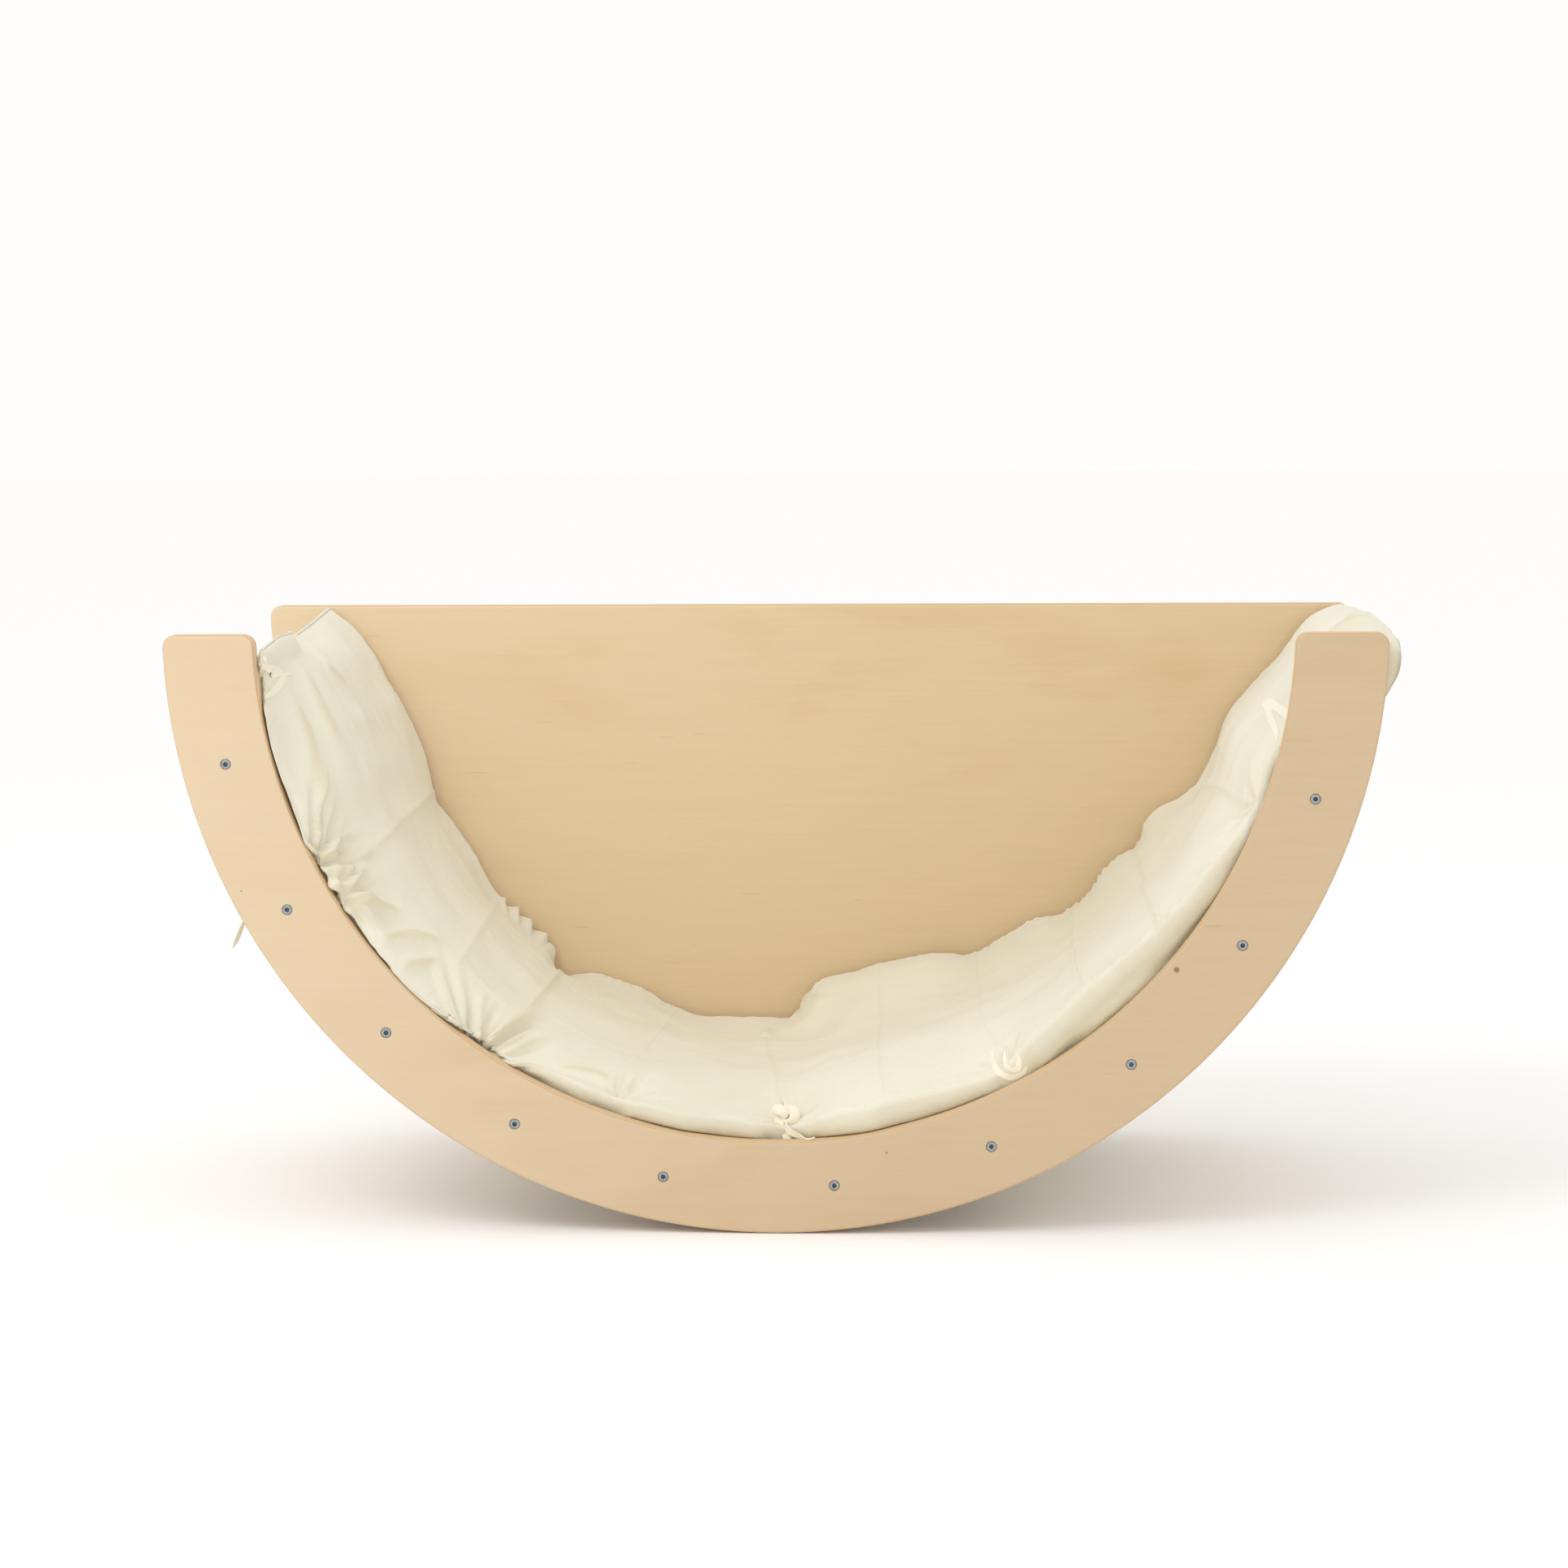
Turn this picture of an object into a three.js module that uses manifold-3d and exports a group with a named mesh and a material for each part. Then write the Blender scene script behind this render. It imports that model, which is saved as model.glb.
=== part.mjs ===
// A children's rocking arch: two curved plywood side panels joined by ten round rungs, with a
// padded mat lying on the rungs and tied to them. It stands like a cradle on its curved edges.
//
// Millimetres. +X runs along the arch, +Y goes from the open front panel to the solid back panel,
// and +Z is up. The origin is on the floor under the lowest point of the curve, midway between
// the two panels. An angle along the arch is counted in degrees from straight down, and a positive
// angle is towards -X.

import * as THREE from "three";
import { mergeVertices } from "three/addons/utils/BufferGeometryUtils.js";
import Module from "manifold-3d";

const wasm = await Module();
wasm.setup();

// ---- driving dimensions ----

const OUTER_RADIUS = 500; // the rocking edge, so the arch is one metre long
const INNER_RADIUS = 425; // the inside of the open front panel
const CHORD_DROP = 7.6; // how far the straight top edge lies below the circle's centre
const CORNER_RADIUS = 10;
const DEPTH = 450; // outside to outside across the two panels
const PANEL = 18; // plywood thickness
const ARRIS = 2; // rounding of the plywood's edges
const GAP = 0.3; // between pieces that touch

const RUNG_CIRCLE = 462.9; // radius on which the rungs lie
const RUNG_RADIUS = 16;
const LEFT_RUNG_ANGLE = 75.8; // first rung, and the pitch of the five rungs on the left
const LEFT_PITCH = 16.1;
const RIGHT_RUNG_ANGLE = -6.1; // sixth rung, and the pitch of the five rungs on the right
const RIGHT_PITCH = 16.5;
const RUNGS_PER_SIDE = 5;

const SCREW_HEAD_RADIUS = 4.25;
const SCREW_SHANK_RADIUS = 2.4;
const SCREW_HEAD_HEIGHT = 1.85;
const SCREW_LENGTH = 60;
const SCREW_TIP = 4;
const SOCKET_RADIUS = 2; // across the corners of the hexagonal socket
const SOCKET_DEPTH = 1.6;

const MAT_HALF_WIDTH = 203;
const MAT_THICKNESS = 56;
const MAT_END_THICKNESS = 40; // pulled thin by the ties at the left end
const MAT_ON_RUNG_THICKNESS = 41; // squashed where it bends over the last rung
const MAT_LEFT_ANGLE = 88;
const COVER = 1.2; // fabric with its seams
const TIE_WIDTH = 10;
const TIE_THICKNESS = 1.2;

// ---- worked out from them ----

const OUTER_STEPS = 65; // facets of the rocking edge; the number is odd, so one lies on the floor
const CORNER_DIP = CHORD_DROP + CORNER_RADIUS;
const OUTER_CORNER_ANGLE = Math.asin(CORNER_DIP / (OUTER_RADIUS - CORNER_RADIUS));
const HALF_FACET = (Math.PI / 2 - OUTER_CORNER_ANGLE) / OUTER_STEPS;
const CENTRE_Z = OUTER_RADIUS * Math.cos(HALF_FACET);
const FRONT_Y = -DEPTH / 2;
const BACK_Y = DEPTH / 2;
const INSIDE_WIDTH = DEPTH - 2 * PANEL;
const HOLE_RADIUS = SCREW_SHANK_RADIUS + GAP;
const TIE_CLEARANCE = TIE_THICKNESS + 2 * GAP;
const MAT_UNDERSIDE_RADIUS = RUNG_CIRCLE - RUNG_RADIUS - TIE_CLEARANCE;

const RUNG_ANGLES = [];
for (let i = 0; i < RUNGS_PER_SIDE; i += 1) {
  RUNG_ANGLES.push(LEFT_RUNG_ANGLE - LEFT_PITCH * i);
}
for (let i = 0; i < RUNGS_PER_SIDE; i += 1) {
  RUNG_ANGLES.push(RIGHT_RUNG_ANGLE - RIGHT_PITCH * i);
}
const LAST_RUNG_ANGLE = RUNG_ANGLES[RUNG_ANGLES.length - 1];

// ---- materials ----

function material(color, roughness, metalness = 0) {
  return new THREE.MeshStandardMaterial({ color, roughness, metalness });
}

const birchPlywood = material(0xdebc8e, 0.55);
const birchDowel = material(0xdcbf93, 0.5);
const zincSteel = material(0x84898c, 0.35, 0.9);
const creamCotton = material(0xe9dfc8, 0.9);
const padding = material(0xf2efe6, 1.0);
const tieTape = material(0xe6dabd, 0.9);

// ---- helpers ----

const arch = new THREE.Group();

function add(name, geometry, meshMaterial) {
  const mesh = new THREE.Mesh(geometry, meshMaterial);
  mesh.name = name;
  arch.add(mesh);
  return mesh;
}

function twoDigits(number) {
  return String(number).padStart(2, "0");
}

function radians(degrees) {
  return THREE.MathUtils.degToRad(degrees);
}

// A point in the XZ plane of the arch, given its angle from straight down and its radius.
function onArch(angle, radius) {
  const turn = radians(angle);
  return new THREE.Vector2(-radius * Math.sin(turn), CENTRE_Z - radius * Math.cos(turn));
}

// Points on a circle from one compass angle to another, in the XZ plane.
function arc(centre, radius, fromDegrees, toDegrees, steps) {
  const points = [];
  for (let i = 0; i <= steps; i += 1) {
    const turn = radians(THREE.MathUtils.lerp(fromDegrees, toDegrees, i / steps));
    const offset = new THREE.Vector2(Math.cos(turn), Math.sin(turn)).multiplyScalar(radius);
    points.push(centre.clone().add(offset));
  }
  return points;
}

// Stands an outline drawn in XZ upright and gives it a thickness along Y.
function slab(points, holes, lowY, highY, bevel = 0) {
  const shape = new THREE.Shape(points);
  shape.holes = holes.map((hole) => new THREE.Path(hole));
  const geometry = new THREE.ExtrudeGeometry(shape, {
    depth: highY - lowY - 2 * bevel,
    bevelEnabled: bevel > 0,
    bevelSize: bevel,
    bevelThickness: bevel,
    bevelOffset: -bevel,
    bevelSegments: 1,
  });
  geometry.rotateX(Math.PI / 2);
  geometry.translate(0, highY - bevel, 0);
  return geometry;
}

function toManifold(geometry) {
  const bare = geometry.clone();
  bare.deleteAttribute("normal");
  bare.deleteAttribute("uv");
  const merged = mergeVertices(bare, 1e-4);
  const mesh = new wasm.Mesh({
    numProp: 3,
    vertProperties: new Float32Array(merged.attributes.position.array),
    triVerts: new Uint32Array(merged.index.array),
  });
  return new wasm.Manifold(mesh);
}

function fromManifold(solid) {
  const mesh = solid.getMesh();
  const geometry = new THREE.BufferGeometry();
  geometry.setAttribute("position", new THREE.BufferAttribute(mesh.vertProperties, 3));
  geometry.setIndex(new THREE.BufferAttribute(mesh.triVerts, 1));
  return geometry;
}

function subtract(geometry, cutters) {
  let solid = toManifold(geometry);
  for (const cutter of cutters) {
    solid = solid.subtract(toManifold(cutter));
  }
  return fromManifold(solid);
}

// A turned piece whose axis is Y, from a closed half profile of [radius, y] pairs.
function turned(profile, segments) {
  const points = profile.map(([radius, y]) => new THREE.Vector2(radius, y));
  return new THREE.LatheGeometry(points, segments);
}

// ---- side panels ----

const INNER_STEPS = 48;
const CORNER_STEPS = 4;

// The centre of a rounded corner between the straight top edge and a circle about the arch's
// centre. side is -1 at the left end and 1 at the right end.
function cornerCentre(distance, side) {
  const reach = Math.sqrt(distance ** 2 - CORNER_DIP ** 2);
  return new THREE.Vector2(side * reach, CENTRE_Z - CORNER_DIP);
}

// The angle below the horizontal at which a corner of that distance meets its circle.
function cornerAngle(distance) {
  return THREE.MathUtils.radToDeg(Math.asin(CORNER_DIP / distance));
}

function outerOutline() {
  const distance = OUTER_RADIUS - CORNER_RADIUS;
  const dip = cornerAngle(distance);
  const middle = new THREE.Vector2(0, CENTRE_Z);
  return [
    ...arc(cornerCentre(distance, -1), CORNER_RADIUS, 90, 180 + dip, CORNER_STEPS),
    ...arc(middle, OUTER_RADIUS, 180 + dip, 360 - dip, OUTER_STEPS).slice(1, -1),
    ...arc(cornerCentre(distance, 1), CORNER_RADIUS, -dip, 90, CORNER_STEPS),
  ];
}

function innerOutline() {
  const distance = INNER_RADIUS + CORNER_RADIUS;
  const dip = cornerAngle(distance);
  const middle = new THREE.Vector2(0, CENTRE_Z);
  return [
    ...arc(cornerCentre(distance, 1), CORNER_RADIUS, 90, 180 - dip, CORNER_STEPS),
    ...arc(middle, INNER_RADIUS, -dip, dip - 180, INNER_STEPS).slice(1, -1),
    ...arc(cornerCentre(distance, -1), CORNER_RADIUS, dip, 90, CORNER_STEPS),
  ];
}

const HOLE_SEGMENTS = 12;
const HEAD_SINK = GAP; // the heads sit a little below the plywood's face

// A through hole with a countersink, and a cutter that runs past both faces of the panel.
function screwHoleCutter() {
  const past = 1;
  const seatRadius = SCREW_HEAD_RADIUS + GAP;
  const seatDepth = SCREW_HEAD_HEIGHT + HEAD_SINK + GAP;
  return turned(
    [
      [0, -past],
      [seatRadius, -past],
      [seatRadius, HEAD_SINK],
      [HOLE_RADIUS, seatDepth],
      [HOLE_RADIUS, PANEL + past],
      [0, PANEL + past],
    ],
    HOLE_SEGMENTS,
  );
}

function drilled(panel, outsideY, inwards) {
  const cutters = RUNG_ANGLES.map((angle) => {
    const cutter = screwHoleCutter();
    if (inwards < 0) {
      cutter.rotateX(Math.PI);
    }
    const place = onArch(angle, RUNG_CIRCLE);
    cutter.translate(place.x, outsideY, place.y);
    return cutter;
  });
  return subtract(panel, cutters);
}

const frontBlank = slab([...outerOutline(), ...innerOutline()], [], FRONT_Y, FRONT_Y + PANEL, ARRIS);
const backBlank = slab(outerOutline(), [], BACK_Y - PANEL, BACK_Y, ARRIS);
add("front_panel", drilled(frontBlank, FRONT_Y, 1), birchPlywood);
add("back_panel", drilled(backBlank, BACK_Y, -1), birchPlywood);

// ---- rungs and their screws ----

const RUNG_SEGMENTS = 24;
const SCREW_SEGMENTS = 12;
const RUNG_CHAMFER = 1;
const rungHalf = INSIDE_WIDTH / 2 - GAP;
const screwInRung = SCREW_LENGTH + HEAD_SINK - PANEL;
const boreEnd = rungHalf - screwInRung - 2;

function rung() {
  const radius = RUNG_RADIUS;
  return turned(
    [
      [0, -boreEnd],
      [HOLE_RADIUS, -boreEnd],
      [HOLE_RADIUS, -rungHalf],
      [radius - RUNG_CHAMFER, -rungHalf],
      [radius, -rungHalf + RUNG_CHAMFER],
      [radius, rungHalf - RUNG_CHAMFER],
      [radius - RUNG_CHAMFER, rungHalf],
      [HOLE_RADIUS, rungHalf],
      [HOLE_RADIUS, boreEnd],
      [0, boreEnd],
    ],
    RUNG_SEGMENTS,
  );
}

// A countersunk screw with a hexagonal socket. Its head's face is at y = 0 and it points to +Y.
function screw() {
  const body = turned(
    [
      [0, 0],
      [SCREW_HEAD_RADIUS, 0],
      [SCREW_SHANK_RADIUS, SCREW_HEAD_HEIGHT],
      [SCREW_SHANK_RADIUS, SCREW_LENGTH - SCREW_TIP],
      [0, SCREW_LENGTH],
    ],
    SCREW_SEGMENTS,
  );
  const socket = new THREE.CylinderGeometry(SOCKET_RADIUS, SOCKET_RADIUS, 2 * SOCKET_DEPTH, 6);
  return subtract(body, [socket]);
}

RUNG_ANGLES.forEach((angle, index) => {
  const place = onArch(angle, RUNG_CIRCLE);
  const label = twoDigits(index + 1);
  add(`rung_${label}`, rung(), birchDowel).position.set(place.x, 0, place.y);

  const front = add(`front_screw_${label}`, screw(), zincSteel);
  front.position.set(place.x, FRONT_Y + HEAD_SINK, place.y);

  const back = add(`back_screw_${label}`, screw(), zincSteel);
  back.position.set(place.x, BACK_Y - HEAD_SINK, place.y);
  back.rotation.x = Math.PI;
});

// ---- mat ----

// The mat's underside, seen from the front: round the inside of the rungs from the left end to
// the last rung, over that rung, and out past the right end of the panels, where it tips down.
const FLAP_RISE = 42; // slope of the part that leans outwards, in degrees
const FLAP_REACH = 80; // its length
const FLAP_TIP = -14; // slope of the mat's right end
const FLAP_BEND_RADIUS = 12;

function slopeToArc(slope) {
  return slope + 90;
}

function matUnderside() {
  const lastRung = onArch(LAST_RUNG_ANGLE, RUNG_CIRCLE);
  const overRung = RUNG_RADIUS + TIE_CLEARANCE;
  const middle = new THREE.Vector2(0, CENTRE_Z);
  const mainSteps = 36;
  const bendSteps = 5;
  const main = arc(
    middle,
    MAT_UNDERSIDE_RADIUS,
    270 - MAT_LEFT_ANGLE,
    270 - LAST_RUNG_ANGLE,
    mainSteps,
  );
  const round = arc(
    lastRung,
    overRung,
    slopeToArc(-LAST_RUNG_ANGLE),
    slopeToArc(FLAP_RISE),
    bendSteps,
  );
  const along = new THREE.Vector2(Math.cos(radians(FLAP_RISE)), Math.sin(radians(FLAP_RISE)));
  const bendStart = round[round.length - 1].clone().addScaledVector(along, FLAP_REACH);
  const bendCentre = bendStart
    .clone()
    .add(new THREE.Vector2(along.y, -along.x).multiplyScalar(FLAP_BEND_RADIUS));
  const tip = arc(
    bendCentre,
    FLAP_BEND_RADIUS,
    slopeToArc(FLAP_RISE),
    slopeToArc(FLAP_TIP),
    bendSteps,
  );
  return { points: [...main, ...round.slice(1), ...tip], mainCount: main.length };
}

// One station for each point of the underside: where it is, which way is up through the mat
// there, how thick the mat is there, and how far along the mat it is.
function matStations() {
  const { points, mainCount } = matUnderside();
  const softStart = 6; // stations over which the left end and the last rung squash the mat
  const last = points.length - 1;
  return points.map((point, index) => {
    const before = points[Math.max(index - 1, 0)];
    const after = points[Math.min(index + 1, last)];
    const along = after.clone().sub(before).normalize();
    const up = new THREE.Vector2(-along.y, along.x);
    const { smoothstep, lerp } = THREE.MathUtils;
    let thickness = lerp(MAT_END_THICKNESS, MAT_THICKNESS, smoothstep(index, 0, softStart));
    if (index >= mainCount) {
      thickness = lerp(MAT_ON_RUNG_THICKNESS, MAT_THICKNESS, smoothstep(index, mainCount + 4, last));
    } else if (index > mainCount - softStart) {
      const squash = smoothstep(index, mainCount - softStart, mainCount - 1);
      thickness = lerp(MAT_THICKNESS, MAT_ON_RUNG_THICKNESS, squash);
    }
    return { point, up, along, thickness };
  });
}

const stations = matStations();

// Heights through the mat, counted up from its underside or down from its top.
function fromUnderside(height) {
  return () => height;
}

function fromTop(depth) {
  return (station) => station.thickness - depth;
}

// A layer of the mat seen from the front, between two heights, shortened by inset at both ends.
function matLayer(lowHeight, highHeight, inset) {
  const last = stations.length - 1;
  const edge = (height) => stations.map((station, index) => {
    const shift = index === 0 ? inset : index === last ? -inset : 0;
    return station.point
      .clone()
      .addScaledVector(station.along, shift)
      .addScaledVector(station.up, height(station));
  });
  return [...edge(lowHeight), ...edge(highHeight).reverse()];
}

// The fabric closing one end of the mat, between the top and the bottom covers.
function matEnd(station, direction) {
  const inner = station.along.clone().multiplyScalar(direction * COVER);
  const low = station.point.clone().addScaledVector(station.up, COVER + GAP);
  const high = station.point.clone().addScaledVector(station.up, station.thickness - COVER - GAP);
  return [low, low.clone().add(inner), high.clone().add(inner), high];
}

const SIDE_Y = MAT_HALF_WIDTH - COVER; // inner face of the boxing at the front and the back
const LINING = COVER + GAP;

function matSlab(outline) {
  return slab(outline, [], -SIDE_Y + GAP, SIDE_Y - GAP);
}

const filling = matLayer(fromUnderside(LINING), fromTop(LINING), LINING);
add("mat_filling", matSlab(filling), padding);

const topCover = matLayer(fromTop(COVER), fromTop(0), 0);
add("mat_cover_top", matSlab(topCover), creamCotton);

const bottomCover = matLayer(fromUnderside(0), fromUnderside(COVER), 0);
add("mat_cover_bottom", matSlab(bottomCover), creamCotton);

const sideCover = matLayer(fromUnderside(0), fromTop(0), 0);
add("mat_cover_front", slab(sideCover, [], -MAT_HALF_WIDTH, -SIDE_Y), creamCotton);
add("mat_cover_back", slab(sideCover, [], SIDE_Y, MAT_HALF_WIDTH), creamCotton);

const leftEnd = matEnd(stations[0], 1);
add("mat_cover_left_end", matSlab(leftEnd), creamCotton);
const rightEnd = matEnd(stations[stations.length - 1], -1);
add("mat_cover_right_end", matSlab(rightEnd), creamCotton);

// ---- ties ----

// Each tie goes once round its rung and is knotted on the rung's outer side, where its two tails
// hang. Seen from the front, the knot's and the tails' directions are compass angles.
const TIES = [
  { rung: 1, knot: 200, tails: [262, 274], tailLength: 38 },
  { rung: 2, knot: 200, tails: [215, 262], tailLength: 38 },
  { rung: 4, knot: 200, tails: [262, 285], tailLength: 22 },
  { rung: 6, knot: 350, tails: [250, 290], tailLength: 16 },
  { rung: 7, knot: 340, tails: [255, 285], tailLength: 22 },
  { rung: 10, knot: 340, tails: [268, 280], tailLength: 38 },
];
const KNOT_RADIUS = 4;
const TIE_INSET = 6; // from the mat's edge to the tie's

function tieBand(centre, knotAngle) {
  const inner = RUNG_RADIUS + GAP;
  const outer = inner + TIE_THICKNESS;
  const steps = 18;
  const outline = arc(centre, outer, knotAngle, knotAngle + 360, steps).slice(0, -1);
  const hole = arc(centre, inner, knotAngle + 360, knotAngle, steps).slice(0, -1);
  return { outline, hole, knotDistance: inner + KNOT_RADIUS };
}

function tie({ rung: rungNumber, knot: knotAngle, tails, tailLength }, lowY) {
  const centre = onArch(RUNG_ANGLES[rungNumber - 1], RUNG_CIRCLE);
  const { outline, hole, knotDistance } = tieBand(centre, knotAngle);
  const highY = lowY + TIE_WIDTH;
  const knotTurn = radians(knotAngle);
  const knotAway = new THREE.Vector2(Math.cos(knotTurn), Math.sin(knotTurn));
  const knotCentre = centre.clone().addScaledVector(knotAway, knotDistance);
  let solid = toManifold(slab(outline, [hole], lowY, highY));
  const knotOutline = arc(knotCentre, KNOT_RADIUS, 0, 360, 10).slice(0, -1);
  solid = solid.add(toManifold(slab(knotOutline, [], lowY, highY)));
  for (const tailAngle of tails) {
    const tailTurn = radians(tailAngle);
    const away = new THREE.Vector2(Math.cos(tailTurn), Math.sin(tailTurn));
    const side = new THREE.Vector2(-away.y, away.x).multiplyScalar(TIE_THICKNESS / 2);
    const end = knotCentre.clone().addScaledVector(away, tailLength);
    const tail = [
      knotCentre.clone().sub(side),
      end.clone().sub(side),
      end.clone().add(side),
      knotCentre.clone().add(side),
    ];
    solid = solid.add(toManifold(slab(tail, [], lowY, highY)));
  }
  return fromManifold(solid);
}

TIES.forEach((place, index) => {
  const frontY = -MAT_HALF_WIDTH + TIE_INSET;
  const backY = MAT_HALF_WIDTH - TIE_INSET - TIE_WIDTH;
  add(`front_tie_${index + 1}`, tie(place, frontY), tieTape);
  add(`back_tie_${index + 1}`, tie(place, backY), tieTape);
});

export default arch;
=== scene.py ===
"""A children's rocking arch in birch plywood with a padded cotton mat tied to its rungs.

Metres, in the part's own frame: +X along the arch, +Y from the open front panel to the solid
back panel, +Z up. Angles along the arch are in degrees from straight down, positive to -X.
"""

import math

import bmesh
import bpy
import numpy as np
from mathutils import Matrix, Vector
from mathutils.bvhtree import BVHTree


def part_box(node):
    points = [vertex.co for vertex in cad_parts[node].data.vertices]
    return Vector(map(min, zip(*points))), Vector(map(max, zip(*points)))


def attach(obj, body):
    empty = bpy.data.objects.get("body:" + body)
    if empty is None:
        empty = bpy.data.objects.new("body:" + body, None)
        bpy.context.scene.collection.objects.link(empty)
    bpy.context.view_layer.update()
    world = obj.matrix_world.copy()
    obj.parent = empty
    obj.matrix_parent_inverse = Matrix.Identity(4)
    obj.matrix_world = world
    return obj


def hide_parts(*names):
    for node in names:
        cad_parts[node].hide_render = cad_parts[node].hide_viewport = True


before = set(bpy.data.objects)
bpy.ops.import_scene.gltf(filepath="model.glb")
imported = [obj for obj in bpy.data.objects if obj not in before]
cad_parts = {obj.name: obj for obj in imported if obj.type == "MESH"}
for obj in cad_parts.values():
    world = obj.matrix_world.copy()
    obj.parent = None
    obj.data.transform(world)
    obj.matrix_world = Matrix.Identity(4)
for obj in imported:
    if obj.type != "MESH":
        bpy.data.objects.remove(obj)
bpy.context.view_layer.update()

# ---- sizes, from the part's own solids where they have them ----

front_low, front_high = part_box("front_panel")
back_low, back_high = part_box("back_panel")
rung_low, rung_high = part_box("rung_01")

OUTER_RADIUS = 0.5
INNER_RADIUS = 0.425
CHORD_DROP = 0.0076
CORNER_RADIUS = 0.010
ARRIS = 0.0022
RUNG_CIRCLE = 0.4629
TOP_Z = front_high.z
CENTRE_Z = TOP_Z + CHORD_DROP
RUNG_RADIUS = (rung_high.x - rung_low.x) / 2
FRONT_Y = front_low.y
BACK_Y = back_high.y
PANEL = front_high.y - front_low.y
RUNG_NUMBERS = range(1, 11)
RUNG_NAMES = [f"rung_{number:02d}" for number in RUNG_NUMBERS]


def node_centre(name):
    low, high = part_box(name)
    return (low + high) / 2


def arch_angle(point):
    """Degrees from straight down to a point, as seen from the arch's centre."""
    return math.degrees(math.atan2(-point.x, CENTRE_Z - point.z))


RUNG_ANGLES = [arch_angle(node_centre(name)) for name in RUNG_NAMES]


def on_arch(angle, radius, y=0.0):
    turn = math.radians(angle)
    return Vector((-radius * math.sin(turn), y, CENTRE_Z - radius * math.cos(turn)))


# ---- camera, light and floor ----

CAMERA_PLACE = Vector((0.2382, -3.325, 0.6873))
CAMERA_YAW = 3.22
CAMERA_PITCH = -3.897
CAMERA_ROLL = -0.342
CAMERA_LENS = 88.13
CAMERA_SHIFT = (-0.0414, -0.0828)
CAMERA_SENSOR = 36.0
# Each light's name, place, side length, power and colour.
LIGHTS = [
    ("key_light", (-1.25, -1.75, 2.6), 1.4, 20, (1.0, 0.99, 0.975)),
    ("fill_light", (0.7, -3.6, 1.2), 2.2, 4, (1.0, 1.0, 1.0)),
]
LIT_PLACE = Vector((0, 0, 0.25))
SKY_COLOR = (1.0, 0.99, 0.98, 1)
FLOOR_COLOR = (0.985, 0.985, 0.985, 1)
FLOOR_HALF = 30.0
FLOOR_DROP = 0.0005


def make_camera():
    yaw, pitch, roll = (math.radians(a) for a in (CAMERA_YAW, CAMERA_PITCH, CAMERA_ROLL))
    ahead = Vector(
        (-math.sin(yaw) * math.cos(pitch), math.cos(yaw) * math.cos(pitch), math.sin(pitch))
    )
    level = Vector((math.cos(yaw), math.sin(yaw), 0))
    up = level.cross(ahead)
    right = level * math.cos(roll) + up * math.sin(roll)
    up = up * math.cos(roll) - level * math.sin(roll)
    data = bpy.data.cameras.new("camera")
    data.sensor_width = CAMERA_SENSOR
    data.lens = CAMERA_LENS
    data.shift_x, data.shift_y = CAMERA_SHIFT
    camera = bpy.data.objects.new("camera", data)
    bpy.context.scene.collection.objects.link(camera)
    turn = Matrix((right, up, -ahead)).transposed()
    camera.matrix_world = Matrix.Translation(CAMERA_PLACE) @ turn.to_4x4()
    bpy.context.scene.camera = camera


def add_light(name, place, side, power, color):
    data = bpy.data.lights.new(name, "AREA")
    data.shape = "RECTANGLE"
    data.size = data.size_y = side
    data.energy = power
    data.color = color
    light = bpy.data.objects.new(name, data)
    bpy.context.scene.collection.objects.link(light)
    light.location = place
    light.rotation_euler = (LIT_PLACE - Vector(place)).to_track_quat("-Z", "Y").to_euler()


def make_stage():
    world = bpy.data.worlds.new("studio")
    world.use_nodes = True
    background = world.node_tree.nodes["Background"]
    background.inputs["Color"].default_value = SKY_COLOR
    background.inputs["Strength"].default_value = 1.0
    bpy.context.scene.world = world
    bpy.context.scene.view_settings.view_transform = "Standard"
    for light in LIGHTS:
        add_light(*light)
    mesh = bpy.data.meshes.new("floor")
    half = FLOOR_HALF
    corners = [(-half, -half, 0), (half, -half, 0), (half, half, 0), (-half, half, 0)]
    mesh.from_pydata(corners, [], [(0, 1, 2, 3)])
    floor = bpy.data.objects.new("floor", mesh)
    bpy.context.scene.collection.objects.link(floor)
    floor.location.z = -FLOOR_DROP
    material = bpy.data.materials.new("floor_paper")
    material.use_nodes = True
    shader = material.node_tree.nodes["Principled BSDF"]
    shader.inputs["Base Color"].default_value = FLOOR_COLOR
    shader.inputs["Roughness"].default_value = 0.9
    mesh.materials.append(material)


make_camera()
make_stage()

# ---- material building ----


def srgb(red, green, blue):
    """A colour given in 0 to 255 display values, as the linear colour that a shader takes."""
    linear = []
    for value in (red, green, blue):
        share = value / 255
        if share <= 0.04045:
            linear.append(share / 12.92)
        else:
            linear.append(((share + 0.055) / 1.055) ** 2.4)
    return (*linear, 1.0)


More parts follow.
